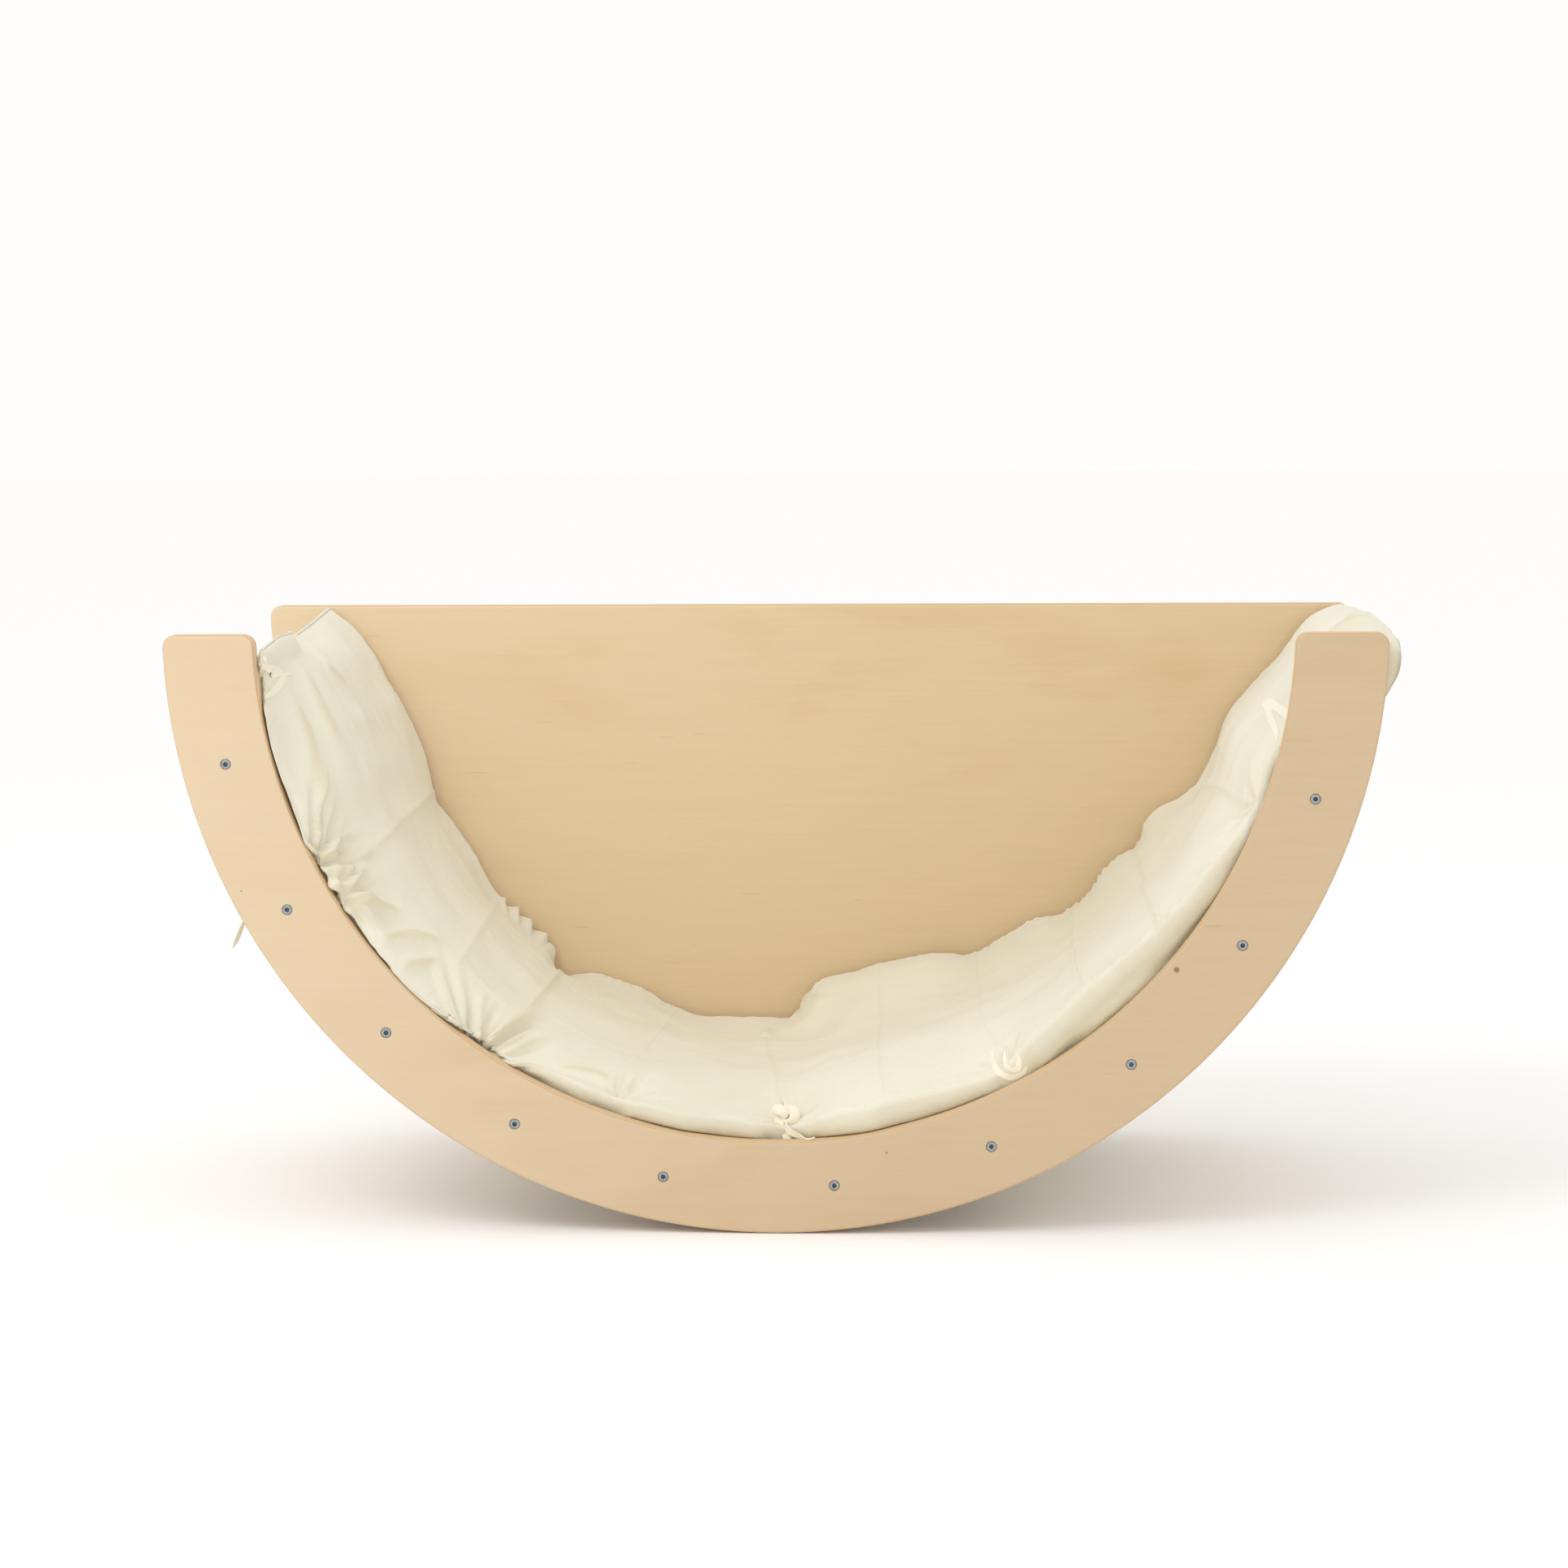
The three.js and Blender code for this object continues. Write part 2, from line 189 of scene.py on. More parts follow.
class Shade:
    """A material's node tree with short ways to add the nodes that this script uses."""

    def __init__(self, name, roughness):
        self.material = bpy.data.materials.new(name)
        self.material.use_nodes = True
        self.tree = self.material.node_tree
        self.shader = self.tree.nodes["Principled BSDF"]
        self.shader.inputs["Roughness"].default_value = roughness

    def link(self, source, target):
        self.tree.links.new(source, target)

    def set(self, socket, value):
        if isinstance(value, bpy.types.NodeSocket):
            self.link(value, socket)
        else:
            socket.default_value = value

    def place(self, scale=(1, 1, 1), uv=False):
        """Object coordinates, or the UV map's, stretched by scale."""
        source = self.tree.nodes.new("ShaderNodeTexCoord").outputs["UV" if uv else "Object"]
        mapping = self.tree.nodes.new("ShaderNodeMapping")
        mapping.inputs["Scale"].default_value = scale
        self.link(source, mapping.inputs["Vector"])
        return mapping.outputs["Vector"]

    def noise(self, stretch, detail, roughness, distortion=0.0, uv=False):
        """Noise over the object's coordinates, or the UV map's, stretched by three factors."""
        vector = self.place(stretch, uv)
        node = self.tree.nodes.new("ShaderNodeTexNoise")
        node.inputs["Scale"].default_value = 1.0
        node.inputs["Detail"].default_value = detail
        node.inputs["Roughness"].default_value = roughness
        node.inputs["Distortion"].default_value = distortion
        self.link(vector, node.inputs["Vector"])
        return node.outputs["Fac"]

    def math(self, operation, a, b=0.0, c=0.0):
        node = self.tree.nodes.new("ShaderNodeMath")
        node.operation = operation
        for socket, value in zip(node.inputs, (a, b, c)):
            self.set(socket, value)
        return node.outputs["Value"]

    def ramp(self, factor, stops):
        node = self.tree.nodes.new("ShaderNodeValToRGB")
        elements = node.color_ramp.elements
        while len(elements) < len(stops):
            elements.new(0.5)
        for element, (position, color) in zip(elements, stops):
            element.position = position
            element.color = color if hasattr(color, "__len__") else (color, color, color, 1)
        self.link(factor, node.inputs["Fac"])
        return node.outputs["Color"]

    def mix(self, factor, first, second, blend="MIX"):
        node = self.tree.nodes.new("ShaderNodeMix")
        node.data_type = "RGBA"
        node.blend_type = blend
        self.set(node.inputs["Factor"], factor)
        self.set(node.inputs[6], first)
        self.set(node.inputs[7], second)
        return node.outputs[2]

    def split(self, vector):
        node = self.tree.nodes.new("ShaderNodeSeparateXYZ")
        self.link(vector, node.inputs["Vector"])
        return node.outputs

    def bump(self, height, distance, strength, normal=None):
        node = self.tree.nodes.new("ShaderNodeBump")
        node.inputs["Strength"].default_value = strength
        node.inputs["Distance"].default_value = distance
        self.link(height, node.inputs["Height"])
        if normal is not None:
            self.link(normal, node.inputs["Normal"])
        return node.outputs["Normal"]

    def finish(self, color, normal=None, roughness=None):
        self.link(color, self.shader.inputs["Base Color"])
        if normal is not None:
            self.link(normal, self.shader.inputs["Normal"])
        if roughness is not None:
            self.link(roughness, self.shader.inputs["Roughness"])
        return self.material


# Pin knots in the veneer: x, z and radius.
PIN_KNOTS = [(0.3286, 0.2185, 0.0030), (0.0922, 0.0671, 0.0011), (-0.4373, 0.2817, 0.0009)]


def veneer_material(name, light, dark, knots=()):
    """Rotary-cut birch: long soft bands along X, fine fibres, and a few small flecks."""
    shade = Shade(name, 0.5)
    drift = shade.noise((1.6, 6.0, 3.6), 3.0, 0.5, 1.1)
    figure = shade.noise((3.4, 9.0, 10.0), 3.0, 0.5, 1.8)
    fibre = shade.noise((14.0, 60.0, 330.0), 3.0, 0.6, 0.2)
    ply_patch = shade.math("MULTIPLY_ADD", figure, 0.55, shade.math("MULTIPLY", drift, 0.75))
    tone = shade.ramp(ply_patch, [(0.42, dark), (0.64, light), (0.85, light)])
    fine = shade.ramp(fibre, [(0.35, 0.972), (0.62, 1.0)])
    color = shade.mix(1.0, tone, fine, "MULTIPLY")
    # Lighter towards -X: partly painted light from the key lamp on that side, partly a lighter leaf
    # of veneer.
    lit_left_and_leaf_tone = shade.math("MULTIPLY_ADD", shade.split(shade.place())["X"], -1.6, 0.15)
    color = shade.mix(shade.ramp(lit_left_and_leaf_tone, [(0.0, 0.0), (1.0, 0.42)]), color, srgb(244, 222, 190))
    fleck_field = shade.noise((26.0, 60.0, 260.0), 2.0, 0.4, 0.0)
    flecks = shade.ramp(fleck_field, [(0.755, 0.0), (0.80, 1.0)])
    color = shade.mix(shade.math("MULTIPLY", flecks, 0.2), color, srgb(176, 130, 84))
    position = shade.split(shade.place())
    for knot_x, knot_z, radius in knots:
        across = shade.math("SUBTRACT", position["X"], knot_x)
        along = shade.math("SUBTRACT", position["Z"], knot_z)
        square = shade.math(
            "ADD", shade.math("MULTIPLY", across, across), shade.math("MULTIPLY", along, along)
        )
        distance = shade.math("DIVIDE", shade.math("SQRT", square), radius)
        inside = shade.ramp(distance, [(0.45, 0.85), (1.0, 0.0)])
        color = shade.mix(inside, color, srgb(128, 84, 52))
    normal = shade.bump(fibre, 0.0001, 0.35)
    rough = shade.ramp(figure, [(0.3, 0.44), (0.7, 0.56)])
    return shade.finish(color, normal, rough)


PLY_COUNT = 13


def ply_edge_material(name, outer_y):
    """The sawn edge of birch plywood: thin plies of alternating grain across the thickness."""
    shade = Shade(name, 0.62)
    ply = PANEL / PLY_COUNT
    position = shade.split(shade.place())
    wobble = shade.noise((9.0, 9.0, 9.0), 2.0, 0.5)
    shifted = shade.math("SUBTRACT", position["Y"], outer_y)
    shifted = shade.math("MULTIPLY_ADD", wobble, 0.00035, shifted)
    phase = shade.math("PINGPONG", shifted, ply)
    phase = shade.math("DIVIDE", phase, ply)
    bands = shade.ramp(
        phase,
        [
            (0.30, srgb(236, 211, 172)),
            (0.46, srgb(226, 197, 154)),
            (0.50, srgb(172, 130, 88)),
            (0.56, srgb(203, 166, 121)),
            (0.80, srgb(208, 172, 127)),
        ],
    )
    speckle = shade.noise((900.0, 900.0, 900.0), 2.0, 0.6)
    streak = shade.noise((60.0, 900.0, 60.0), 3.0, 0.6)
    grain = shade.mix(0.5, shade.ramp(speckle, [(0.35, 0.86), (0.6, 1.0)]),
                      shade.ramp(streak, [(0.3, 0.88), (0.6, 1.0)]))
    color = shade.mix(1.0, bands, grain, "MULTIPLY")
    normal = shade.bump(speckle, 0.00012, 0.4)
    return shade.finish(color, normal)


def dowel_material():
    shade = Shade("birch_dowel", 0.48)
    band = shade.noise((60.0, 2.2, 60.0), 3.0, 0.55, 0.6)
    fibre = shade.noise((500.0, 14.0, 500.0), 3.0, 0.6)
    tone = shade.ramp(band, [(0.32, srgb(206, 170, 122)), (0.62, srgb(228, 200, 158))])
    fine = shade.ramp(fibre, [(0.3, 0.9), (0.6, 1.0)])
    color = shade.mix(1.0, tone, fine, "MULTIPLY")
    normal = shade.bump(fibre, 0.0001, 0.4)
    return shade.finish(color, normal)


def steel_material(name, dark, light):
    shade = Shade(name, 0.32)
    shade.shader.inputs["Metallic"].default_value = 0.9
    cloud = shade.noise((240, 240, 240), 3.0, 0.6)
    color = shade.ramp(cloud, [(0.3, dark), (0.7, light)])
    rough = shade.ramp(cloud, [(0.3, 0.25), (0.7, 0.42)])
    return shade.finish(color, None, rough)


def cotton_material(name, light, shadow, threads_per_metre, weave_height):
    """Plain-woven cotton. The UV map is in metres of cloth, so the weave keeps its real size."""
    shade = Shade(name, 0.82)
    shade.shader.inputs["Sheen Weight"].default_value = 0.25
    shade.shader.inputs["Sheen Roughness"].default_value = 0.45
    cloth = shade.split(shade.place((threads_per_metre, threads_per_metre, 1), uv=True))
    warp = shade.math("SINE", shade.math("MULTIPLY", cloth["X"], math.tau))
    weft = shade.math("SINE", shade.math("MULTIPLY", cloth["Y"], math.tau))
    weave = shade.math("MULTIPLY", warp, weft)
    slub = shade.noise((160, 900, 1), 3.0, 0.6, uv=True)
    cloud = shade.noise((5, 5, 5), 3.0, 0.55)
    tone = shade.ramp(cloud, [(0.3, shadow), (0.66, light)])
    thread = shade.ramp(slub, [(0.3, 0.955), (0.65, 1.0)])
    color = shade.mix(1.0, tone, thread, "MULTIPLY")
    # Painted shade: one mask darkens the boxed front face, more towards the rim, and the other
    # darkens and warms the cloth in its folds and sewn channels, where shade falls.
    for name, shade_tint in (("boxing_shade", srgb(197, 188, 152)), ("hollow", srgb(204, 192, 138))):
        painted_shade_mask = shade.tree.nodes.new("ShaderNodeAttribute")
        painted_shade_mask.attribute_name = name
        color = shade.mix(painted_shade_mask.outputs["Fac"], color, shade_tint)
    fuzz = shade.noise((90, 90, 1), 4.0, 0.6, uv=True)
    normal = shade.bump(weave, weave_height, 0.5)
    normal = shade.bump(fuzz, 0.0006, 0.25, normal)
    return shade.finish(color, normal)


def thread_material():
    shade = Shade("sewing_thread", 0.7)
    twist = shade.noise((1500, 1500, 1500), 2.0, 0.5)
    color = shade.ramp(twist, [(0.35, srgb(214, 204, 178)), (0.65, srgb(238, 230, 210))])
    return shade.finish(color)


veneer = veneer_material("birch_veneer", srgb(202, 177, 142), srgb(197, 169, 131), PIN_KNOTS)
back_veneer = veneer_material("birch_veneer_back", srgb(216, 191, 151), srgb(209, 179, 132))
front_edge = ply_edge_material("ply_edge_front", FRONT_Y)
back_edge = ply_edge_material("ply_edge_back", back_low.y)
dowel = dowel_material()
steel = steel_material("screw_steel", srgb(140, 145, 146), srgb(172, 177, 178))
# Painted shade: a darker steel for the socket and the rim of each screw head, where shade falls in
# the socket and the seat round the head.
recess_shade_steel = steel_material("screw_steel_painted_shade", srgb(62, 70, 74), srgb(92, 100, 104))
cotton = cotton_material("mat_cotton", srgb(238, 233, 214), srgb(231, 226, 204), 1600, 0.00012)
tape = cotton_material("tie_tape", srgb(243, 238, 218), srgb(238, 231, 207), 1400, 0.0002)
thread = thread_material()

# ---- mesh building ----


def new_piece(name, mesh, replaced, materials):
    """Makes the object of a finished mesh that stands for some CAD nodes."""
    piece = bpy.data.objects.new(name, mesh)
    bpy.context.scene.collection.objects.link(piece)
    for material in materials:
        if material.name not in mesh.materials:
            mesh.materials.append(material)
    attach(piece, "root")
    if replaced:
        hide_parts(*replaced)
    return piece


def mesh_from(bm, name):
    mesh = bpy.data.meshes.new(name)
    bm.to_mesh(mesh)
    bm.free()
    return mesh


def smooth_by_angle(mesh, degrees):
    mesh.shade_smooth()
    mesh.set_sharp_from_angle(angle=math.radians(degrees))


def arc(centre, radius, start, end, steps):
    """Points on a circle in the XZ plane from one compass angle to another."""
    points = []
    for i in range(steps + 1):
        turn = math.radians(start + (end - start) * i / steps)
        points.append(
            Vector((centre.x + radius * math.cos(turn), centre.y + radius * math.sin(turn)))
        )
    return points


# ---- side panels ----

OUTER_STEPS = 240
INNER_STEPS = 200
CORNER_STEPS = 8
HOLE_STEPS = 32
CORNER_DIP = CHORD_DROP + CORNER_RADIUS
SEAT_RADIUS = 0.00455
HOLE_RADIUS = 0.0027
SEAT_DEPTH = 0.00245
ARRIS_STEPS = 4
# Of every screw hole: its radius at depths from the panel's outside, with a ring to hold each edge.
HOLE_PROFILE = [
    (SEAT_RADIUS + 0.0011, 0.0),
    (SEAT_RADIUS + 0.0002, 0.0),
    (SEAT_RADIUS, 0.0002),
    (SEAT_RADIUS, 0.0006),
    (HOLE_RADIUS, SEAT_DEPTH),
    (HOLE_RADIUS, PANEL),
    (HOLE_RADIUS + 0.0008, PANEL),
]


def corner_centre(distance, side):
    return Vector((side * math.sqrt(distance**2 - CORNER_DIP**2), CENTRE_Z - CORNER_DIP))


def outer_outline():
    distance = OUTER_RADIUS - CORNER_RADIUS
    dip = math.degrees(math.asin(CORNER_DIP / distance))
    middle = Vector((0, CENTRE_Z))
    return (
        arc(corner_centre(distance, -1), CORNER_RADIUS, 90, 180 + dip, CORNER_STEPS)
        + arc(middle, OUTER_RADIUS, 180 + dip, 360 - dip, OUTER_STEPS)[1:-1]
        + arc(corner_centre(distance, 1), CORNER_RADIUS, -dip, 90, CORNER_STEPS)
    )


def inner_outline():
    distance = INNER_RADIUS + CORNER_RADIUS
    dip = math.degrees(math.asin(CORNER_DIP / distance))
    middle = Vector((0, CENTRE_Z))
    return (
        arc(corner_centre(distance, 1), CORNER_RADIUS, 90, 180 - dip, CORNER_STEPS)
        + arc(middle, INNER_RADIUS, -dip, dip - 180, INNER_STEPS)[1:-1]
        + arc(corner_centre(distance, -1), CORNER_RADIUS, dip, 90, CORNER_STEPS)
    )


def inset(outline, distance):
    """The closed, anticlockwise outline moved inwards by a small distance."""
    moved = []
    count = len(outline)
    for i, point in enumerate(outline):
        along = (outline[(i + 1) % count] - outline[i - 1]).normalized()
        moved.append(point + Vector((-along.y, along.x)) * distance)
    return moved


def add_ring(bm, points, y):
    return [bm.verts.new((p.x, y, p.y)) for p in points]


def join_rings(bm, rings):
    """Quads from every ring of vertices to the next."""
    for first, second in zip(rings, rings[1:]):
        for i in range(len(first)):
            j = (i + 1) % len(first)
            bm.faces.new((first[i], first[j], second[j], second[i]))


def ring_edges(bm, ring):
    return [bm.edges.get((ring[i], ring[(i + 1) % len(ring)])) for i in range(len(ring))]


def panel_mesh(name, outline, outside_y, inwards):
    """A plywood panel with rounded arrises and a countersunk through hole at every rung."""
    bm = bmesh.new()
    inside_y = outside_y + inwards * PANEL
    edge_support = 0.0006
    profile = [(ARRIS + edge_support, 0.0)]
    for i in range(ARRIS_STEPS + 1):
        turn = math.pi / 2 * (1 - i / ARRIS_STEPS)
        profile.append((ARRIS * (1 - math.cos(turn)), ARRIS * (1 - math.sin(turn))))
    rings = [add_ring(bm, inset(outline, d), outside_y + inwards * y) for d, y in profile]
    rings += [add_ring(bm, inset(outline, d), inside_y - inwards * y) for d, y in profile[::-1]]
    join_rings(bm, rings)
    outside_edges = ring_edges(bm, rings[0])
    inside_edges = ring_edges(bm, rings[-1])
    for angle in RUNG_ANGLES:
        centre = on_arch(angle, RUNG_CIRCLE)
        flat_centre = Vector((centre.x, centre.z))
        hole = [
            add_ring(bm, arc(flat_centre, r, 0, 360, HOLE_STEPS)[:-1], outside_y + inwards * y)
            for r, y in HOLE_PROFILE
        ]
        join_rings(bm, hole)
        outside_edges += ring_edges(bm, hole[0])
        inside_edges += ring_edges(bm, hole[-1])
    for edges in (outside_edges, inside_edges):
        bmesh.ops.triangle_fill(bm, use_beauty=True, use_dissolve=False, edges=edges)
    bmesh.ops.recalc_face_normals(bm, faces=bm.faces)
    on_plane = 1e-5
    edge_slope = 0.7
    for face in bm.faces:
        centre = face.calc_center_median()
        on_face = min(abs(centre.y - outside_y), abs(centre.y - inside_y)) < on_plane
        face.material_index = 0 if on_face or abs(face.normal.y) > edge_slope else 1
    mesh = mesh_from(bm, name)
    smooth_by_angle(mesh, 35)
    return mesh


def make_panels():
    front = panel_mesh("front_side", outer_outline() + inner_outline(), FRONT_Y, 1)
    new_piece("front_side", front, ["front_panel"], [veneer, front_edge])
    back = panel_mesh("back_side", outer_outline(), BACK_Y, -1)
    new_piece("back_side", back, ["back_panel"], [back_veneer, back_edge])


make_panels()

# ---- rungs ----

RUNG_SEGMENTS = 48
RUNG_STEPS = 24
RUNG_CHAMFER = 0.0012
BORE_DEPTH = 0.0444


def add_round(bm, radii, y):
    """A ring of vertices about the Y axis, one for each of the radii."""
    ring = []
    for i, radius in enumerate(radii):
        turn = math.tau * i / len(radii)
        ring.append(bm.verts.new((radius * math.cos(turn), y, radius * math.sin(turn))))
    return ring


def close_ends(bm, rings, first_y, last_y):
    """Fans from a point on the axis to the first ring and to the last."""
    first = bm.verts.new((0, first_y, 0))
    last = bm.verts.new((0, last_y, 0))
    count = len(rings[0])
    for i in range(count):
        j = (i + 1) % count
        bm.faces.new((first, rings[0][j], rings[0][i]))
        bm.faces.new((last, rings[-1][i], rings[-1][j]))


def turned_mesh(name, profile):
    """A closed turned solid about Y, from [radius, y] pairs that start and end on the axis."""
    bm = bmesh.new()
    rings = [add_round(bm, [radius] * RUNG_SEGMENTS, y) for radius, y in profile[1:-1]]
    join_rings(bm, rings)
    close_ends(bm, rings, profile[0][1], profile[-1][1])
    bmesh.ops.recalc_face_normals(bm, faces=bm.faces)
    return mesh_from(bm, name)


def rung_profile(half):
    """From the floor of one screw bore, over the rung's outside, to the floor of the other."""
    eased = RUNG_CHAMFER * 0.3
    profile = [(0, -half + BORE_DEPTH), (HOLE_RADIUS, -half + BORE_DEPTH), (HOLE_RADIUS, -half)]
    profile += [(RUNG_RADIUS - RUNG_CHAMFER, -half), (RUNG_RADIUS - eased, -half + eased)]
    reach = half - RUNG_CHAMFER
    for i in range(RUNG_STEPS + 1):
        profile.append((RUNG_RADIUS, -reach + 2 * reach * i / RUNG_STEPS))
    mirrored = [(radius, -y) for radius, y in profile[:5]]
    return profile + mirrored[::-1]


def make_rungs():
    for name in RUNG_NAMES:
        low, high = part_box(name)
        middle = (low + high) / 2
        mesh = turned_mesh(f"{name}_dowel", rung_profile((high.y - low.y) / 2))
        mesh.transform(Matrix.Translation(middle))
        smooth_by_angle(mesh, 40)
        new_piece(f"{name}_dowel", mesh, [name], [dowel])


make_rungs()

# ---- screws ----

HEAD_RADIUS = 0.00425
SHANK_RADIUS = 0.00205
THREAD_RADIUS = 0.0024
SCREW_LENGTH = 0.060
HEAD_HEIGHT = 0.00185
SOCKET_RADIUS = 0.00195
SOCKET_DEPTH = 0.0017
THREAD_START = 0.022
THREAD_PITCH = 0.0024
ROWS_PER_PITCH = 6
TIP_LENGTH = 0.005
SCREW_SEGMENTS = 36
SCREW_TURN = 17  # degrees by which every screw is turned from the one before


def circle(radius):
    return [radius] * SCREW_SEGMENTS


def hexagon(radius):
    """Radii round a hexagon whose corners are at the given radius."""
    radii = []
    for i in range(SCREW_SEGMENTS):
        turn = math.tau * i / SCREW_SEGMENTS
        flat = math.cos(math.pi / 6) / math.cos((turn % (math.pi / 3)) - math.pi / 6)
        radii.append(radius * flat)
    return radii


def thread_round(y):
    """Radii round the screw at a depth where it has a thread, whose crest winds down it."""
    radii = []
    for i in range(SCREW_SEGMENTS):
        phase = (y / THREAD_PITCH - i / SCREW_SEGMENTS) % 1
        crest = max(0.0, 1 - abs(phase - 0.5) * 4)
        radii.append(SHANK_RADIUS + (THREAD_RADIUS - SHANK_RADIUS) * crest)
    return radii


def screw_sections():
    """Radii and depths, from the socket's floor, out over the head, and down to the tip."""
    sections = [
        (hexagon(SOCKET_RADIUS * 0.96), SOCKET_DEPTH),
        (hexagon(SOCKET_RADIUS), 0.00018),
        (hexagon(SOCKET_RADIUS + 0.00012), 0.00004),
        (circle(SOCKET_RADIUS + 0.0006), 0.0),
        (circle(HEAD_RADIUS - 0.0011), 0.0),
        (circle(HEAD_RADIUS - 0.0003), 0.00022),
        (circle(HEAD_RADIUS), 0.0005),
        (circle(SHANK_RADIUS + 0.0002), HEAD_HEIGHT + 0.0004),
        (circle(SHANK_RADIUS), HEAD_HEIGHT + 0.0012),
        (circle(SHANK_RADIUS), THREAD_START),
    ]
    row = THREAD_PITCH / ROWS_PER_PITCH
    rows = int((SCREW_LENGTH - TIP_LENGTH - THREAD_START) / row)
    for k in range(1, rows + 1):
        depth = THREAD_START + k * row
        sections.append((thread_round(depth), depth))
    sections.append((circle(SHANK_RADIUS * 0.55), SCREW_LENGTH - TIP_LENGTH * 0.4))
    return sections


def screw_mesh():
    """A countersunk wood screw along +Y with a hexagonal socket, its head's face at y = 0."""
    bm = bmesh.new()
    rings = [add_round(bm, radii, depth) for radii, depth in screw_sections()]
    join_rings(bm, rings)
    close_ends(bm, rings, SOCKET_DEPTH + 0.0002, SCREW_LENGTH)
    bmesh.ops.recalc_face_normals(bm, faces=bm.faces)
    for face in bm.faces:
        middle = face.calc_center_median()
        reach = math.hypot(middle.x, middle.z)
        in_socket = reach < SOCKET_RADIUS + 0.0001 and middle.y < SOCKET_DEPTH + 0.001
        on_rim = reach > HEAD_RADIUS - 0.0005
        # The socket and the rim take the darker steel that stands for their shade.
        face.material_index = 1 if in_socket or on_rim else 0
    mesh = mesh_from(bm, "screw")
    smooth_by_angle(mesh, 38)
    return mesh


def make_screws():
    pattern = screw_mesh()
    for index in RUNG_NUMBERS:
        for side, sign in (("front", 1), ("back", -1)):
            name = f"{side}_screw_{index:02d}"
            low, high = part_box(name)
            middle = (low + high) / 2
            face_y = low.y if sign > 0 else high.y
            turned = Matrix.Rotation(math.radians(SCREW_TURN * index), 4, "Y")
            if sign < 0:
                turned = Matrix.Rotation(math.pi, 4, "X") @ turned
            mesh = pattern.copy()
            mesh.name = f"{name}_steel"
            mesh.transform(Matrix.Translation((middle.x, face_y, middle.z)) @ turned)
            new_piece(f"{name}_steel", mesh, [name], [steel, recess_shade_steel])


make_screws()

# ---- mat: the line that its underside follows ----

TIE_CLEARANCE = 0.0018
UNDERSIDE_RADIUS = RUNG_CIRCLE - RUNG_RADIUS - TIE_CLEARANCE
MAT_LEFT_ANGLE = 88.0
MAT_FRONT_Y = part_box("mat_cover_front")[0].y
MAT_BACK_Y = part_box("mat_cover_back")[1].y
MAT_WIDTH = MAT_BACK_Y - MAT_FRONT_Y
FLAP_RISE = 43.0
FLAP_REACH = 0.082
FLAP_TIP = -22.0
FLAP_BEND_RADIUS = 0.016
STEP = 0.0072  # spacing of the mat's mesh


def underside_line():
    """Points every STEP along the mat's underside, left end to right end, in XZ."""
    last = on_arch(RUNG_ANGLES[-1], RUNG_CIRCLE)
    last_rung = Vector((last.x, last.z))
    middle = Vector((0, CENTRE_Z))
    fine = 400
    main = arc(middle, UNDERSIDE_RADIUS, 270 - MAT_LEFT_ANGLE, 270 - RUNG_ANGLES[-1], fine)
    over = arc(last_rung, RUNG_RADIUS + TIE_CLEARANCE, 90 - RUNG_ANGLES[-1], 90 + FLAP_RISE, 20)
    rise = math.radians(FLAP_RISE)
    along = Vector((math.cos(rise), math.sin(rise)))
    bend_start = over[-1] + along * FLAP_REACH
    straight = [over[-1].lerp(bend_start, i / 20) for i in range(1, 21)]
    bend_centre = bend_start + Vector((along.y, -along.x)) * FLAP_BEND_RADIUS
    tip = arc(bend_centre, FLAP_BEND_RADIUS, 90 + FLAP_RISE, 90 + FLAP_TIP, 20)
    dense = np.array([tuple(p) for p in main + over[1:] + straight + tip[1:]])
    lengths = np.r_[0, np.cumsum(np.linalg.norm(np.diff(dense, axis=0), axis=1))]
    count = int(round(lengths[-1] / STEP))
    wanted = np.linspace(0, lengths[-1], count + 1)
    points = np.c_[np.interp(wanted, lengths, dense[:, 0]), np.interp(wanted, lengths, dense[:, 1])]
    along = np.gradient(points, axis=0)
    for _ in range(3):
        along[1:-1] = (along[:-2] + 2 * along[1:-1] + along[2:]) / 4
    along /= np.linalg.norm(along, axis=1)[:, None]
    up = np.c_[-along[:, 1], along[:, 0]]
    return points, along, up, wanted


LINE, LINE_ALONG, LINE_UP, LINE_LENGTH = underside_line()
MAT_LENGTH = LINE_LENGTH[-1]
STEP_ALONG = LINE_LENGTH[1]


def length_at(angle):
    """How far along the underside the arch angle lies, on the stretch that follows the rungs."""
    return math.radians(MAT_LEFT_ANGLE - angle) * UNDERSIDE_RADIUS


# ---- mat: its thickness along and across ----

# Thickness of the mat in metres at arch angles in degrees, from its left end to its right end.
# Beyond the last rung the angles go on counting length, though the mat no longer bends with them.
BACK_THICKNESS = [
    (88, 0.006), (86, 0.026), (83, 0.040), (80, 0.048), (76, 0.061), (72, 0.064), (67, 0.064),
    (63.5, 0.060), (61.5, 0.056), (59, 0.058), (52, 0.057), (48.5, 0.051), (45.5, 0.046),
    (43, 0.052), (38, 0.048), (35.8, 0.047), (34.4, 0.026), (33.2, 0.022), (31.5, 0.032),
    (29.5, 0.043), (26, 0.047), (22, 0.048), (18.5, 0.044), (14.5, 0.044), (12, 0.051),
    (6, 0.054), (2.0, 0.056), (0.9, 0.064), (-0.4, 0.088), (-3, 0.095), (-7, 0.098),
    (-13, 0.101), (-19, 0.098), (-22, 0.091), (-24.2, 0.080), (-26, 0.079), (-29, 0.083),
    (-34.5, 0.083), (-36.5, 0.077), (-38.3, 0.065), (-41.5, 0.064), (-44, 0.067), (-47, 0.076),
    (-51, 0.073), (-53.3, 0.065), (-55.5, 0.073), (-59, 0.069), (-61.5, 0.055), (-64, 0.045),
    (-67, 0.045), (-72, 0.046), (-76, 0.048), (-80, 0.051), (-82.3, 0.055), (-83.4, 0.060),
    (-84.4, 0.063), (-86, 0.064),
]
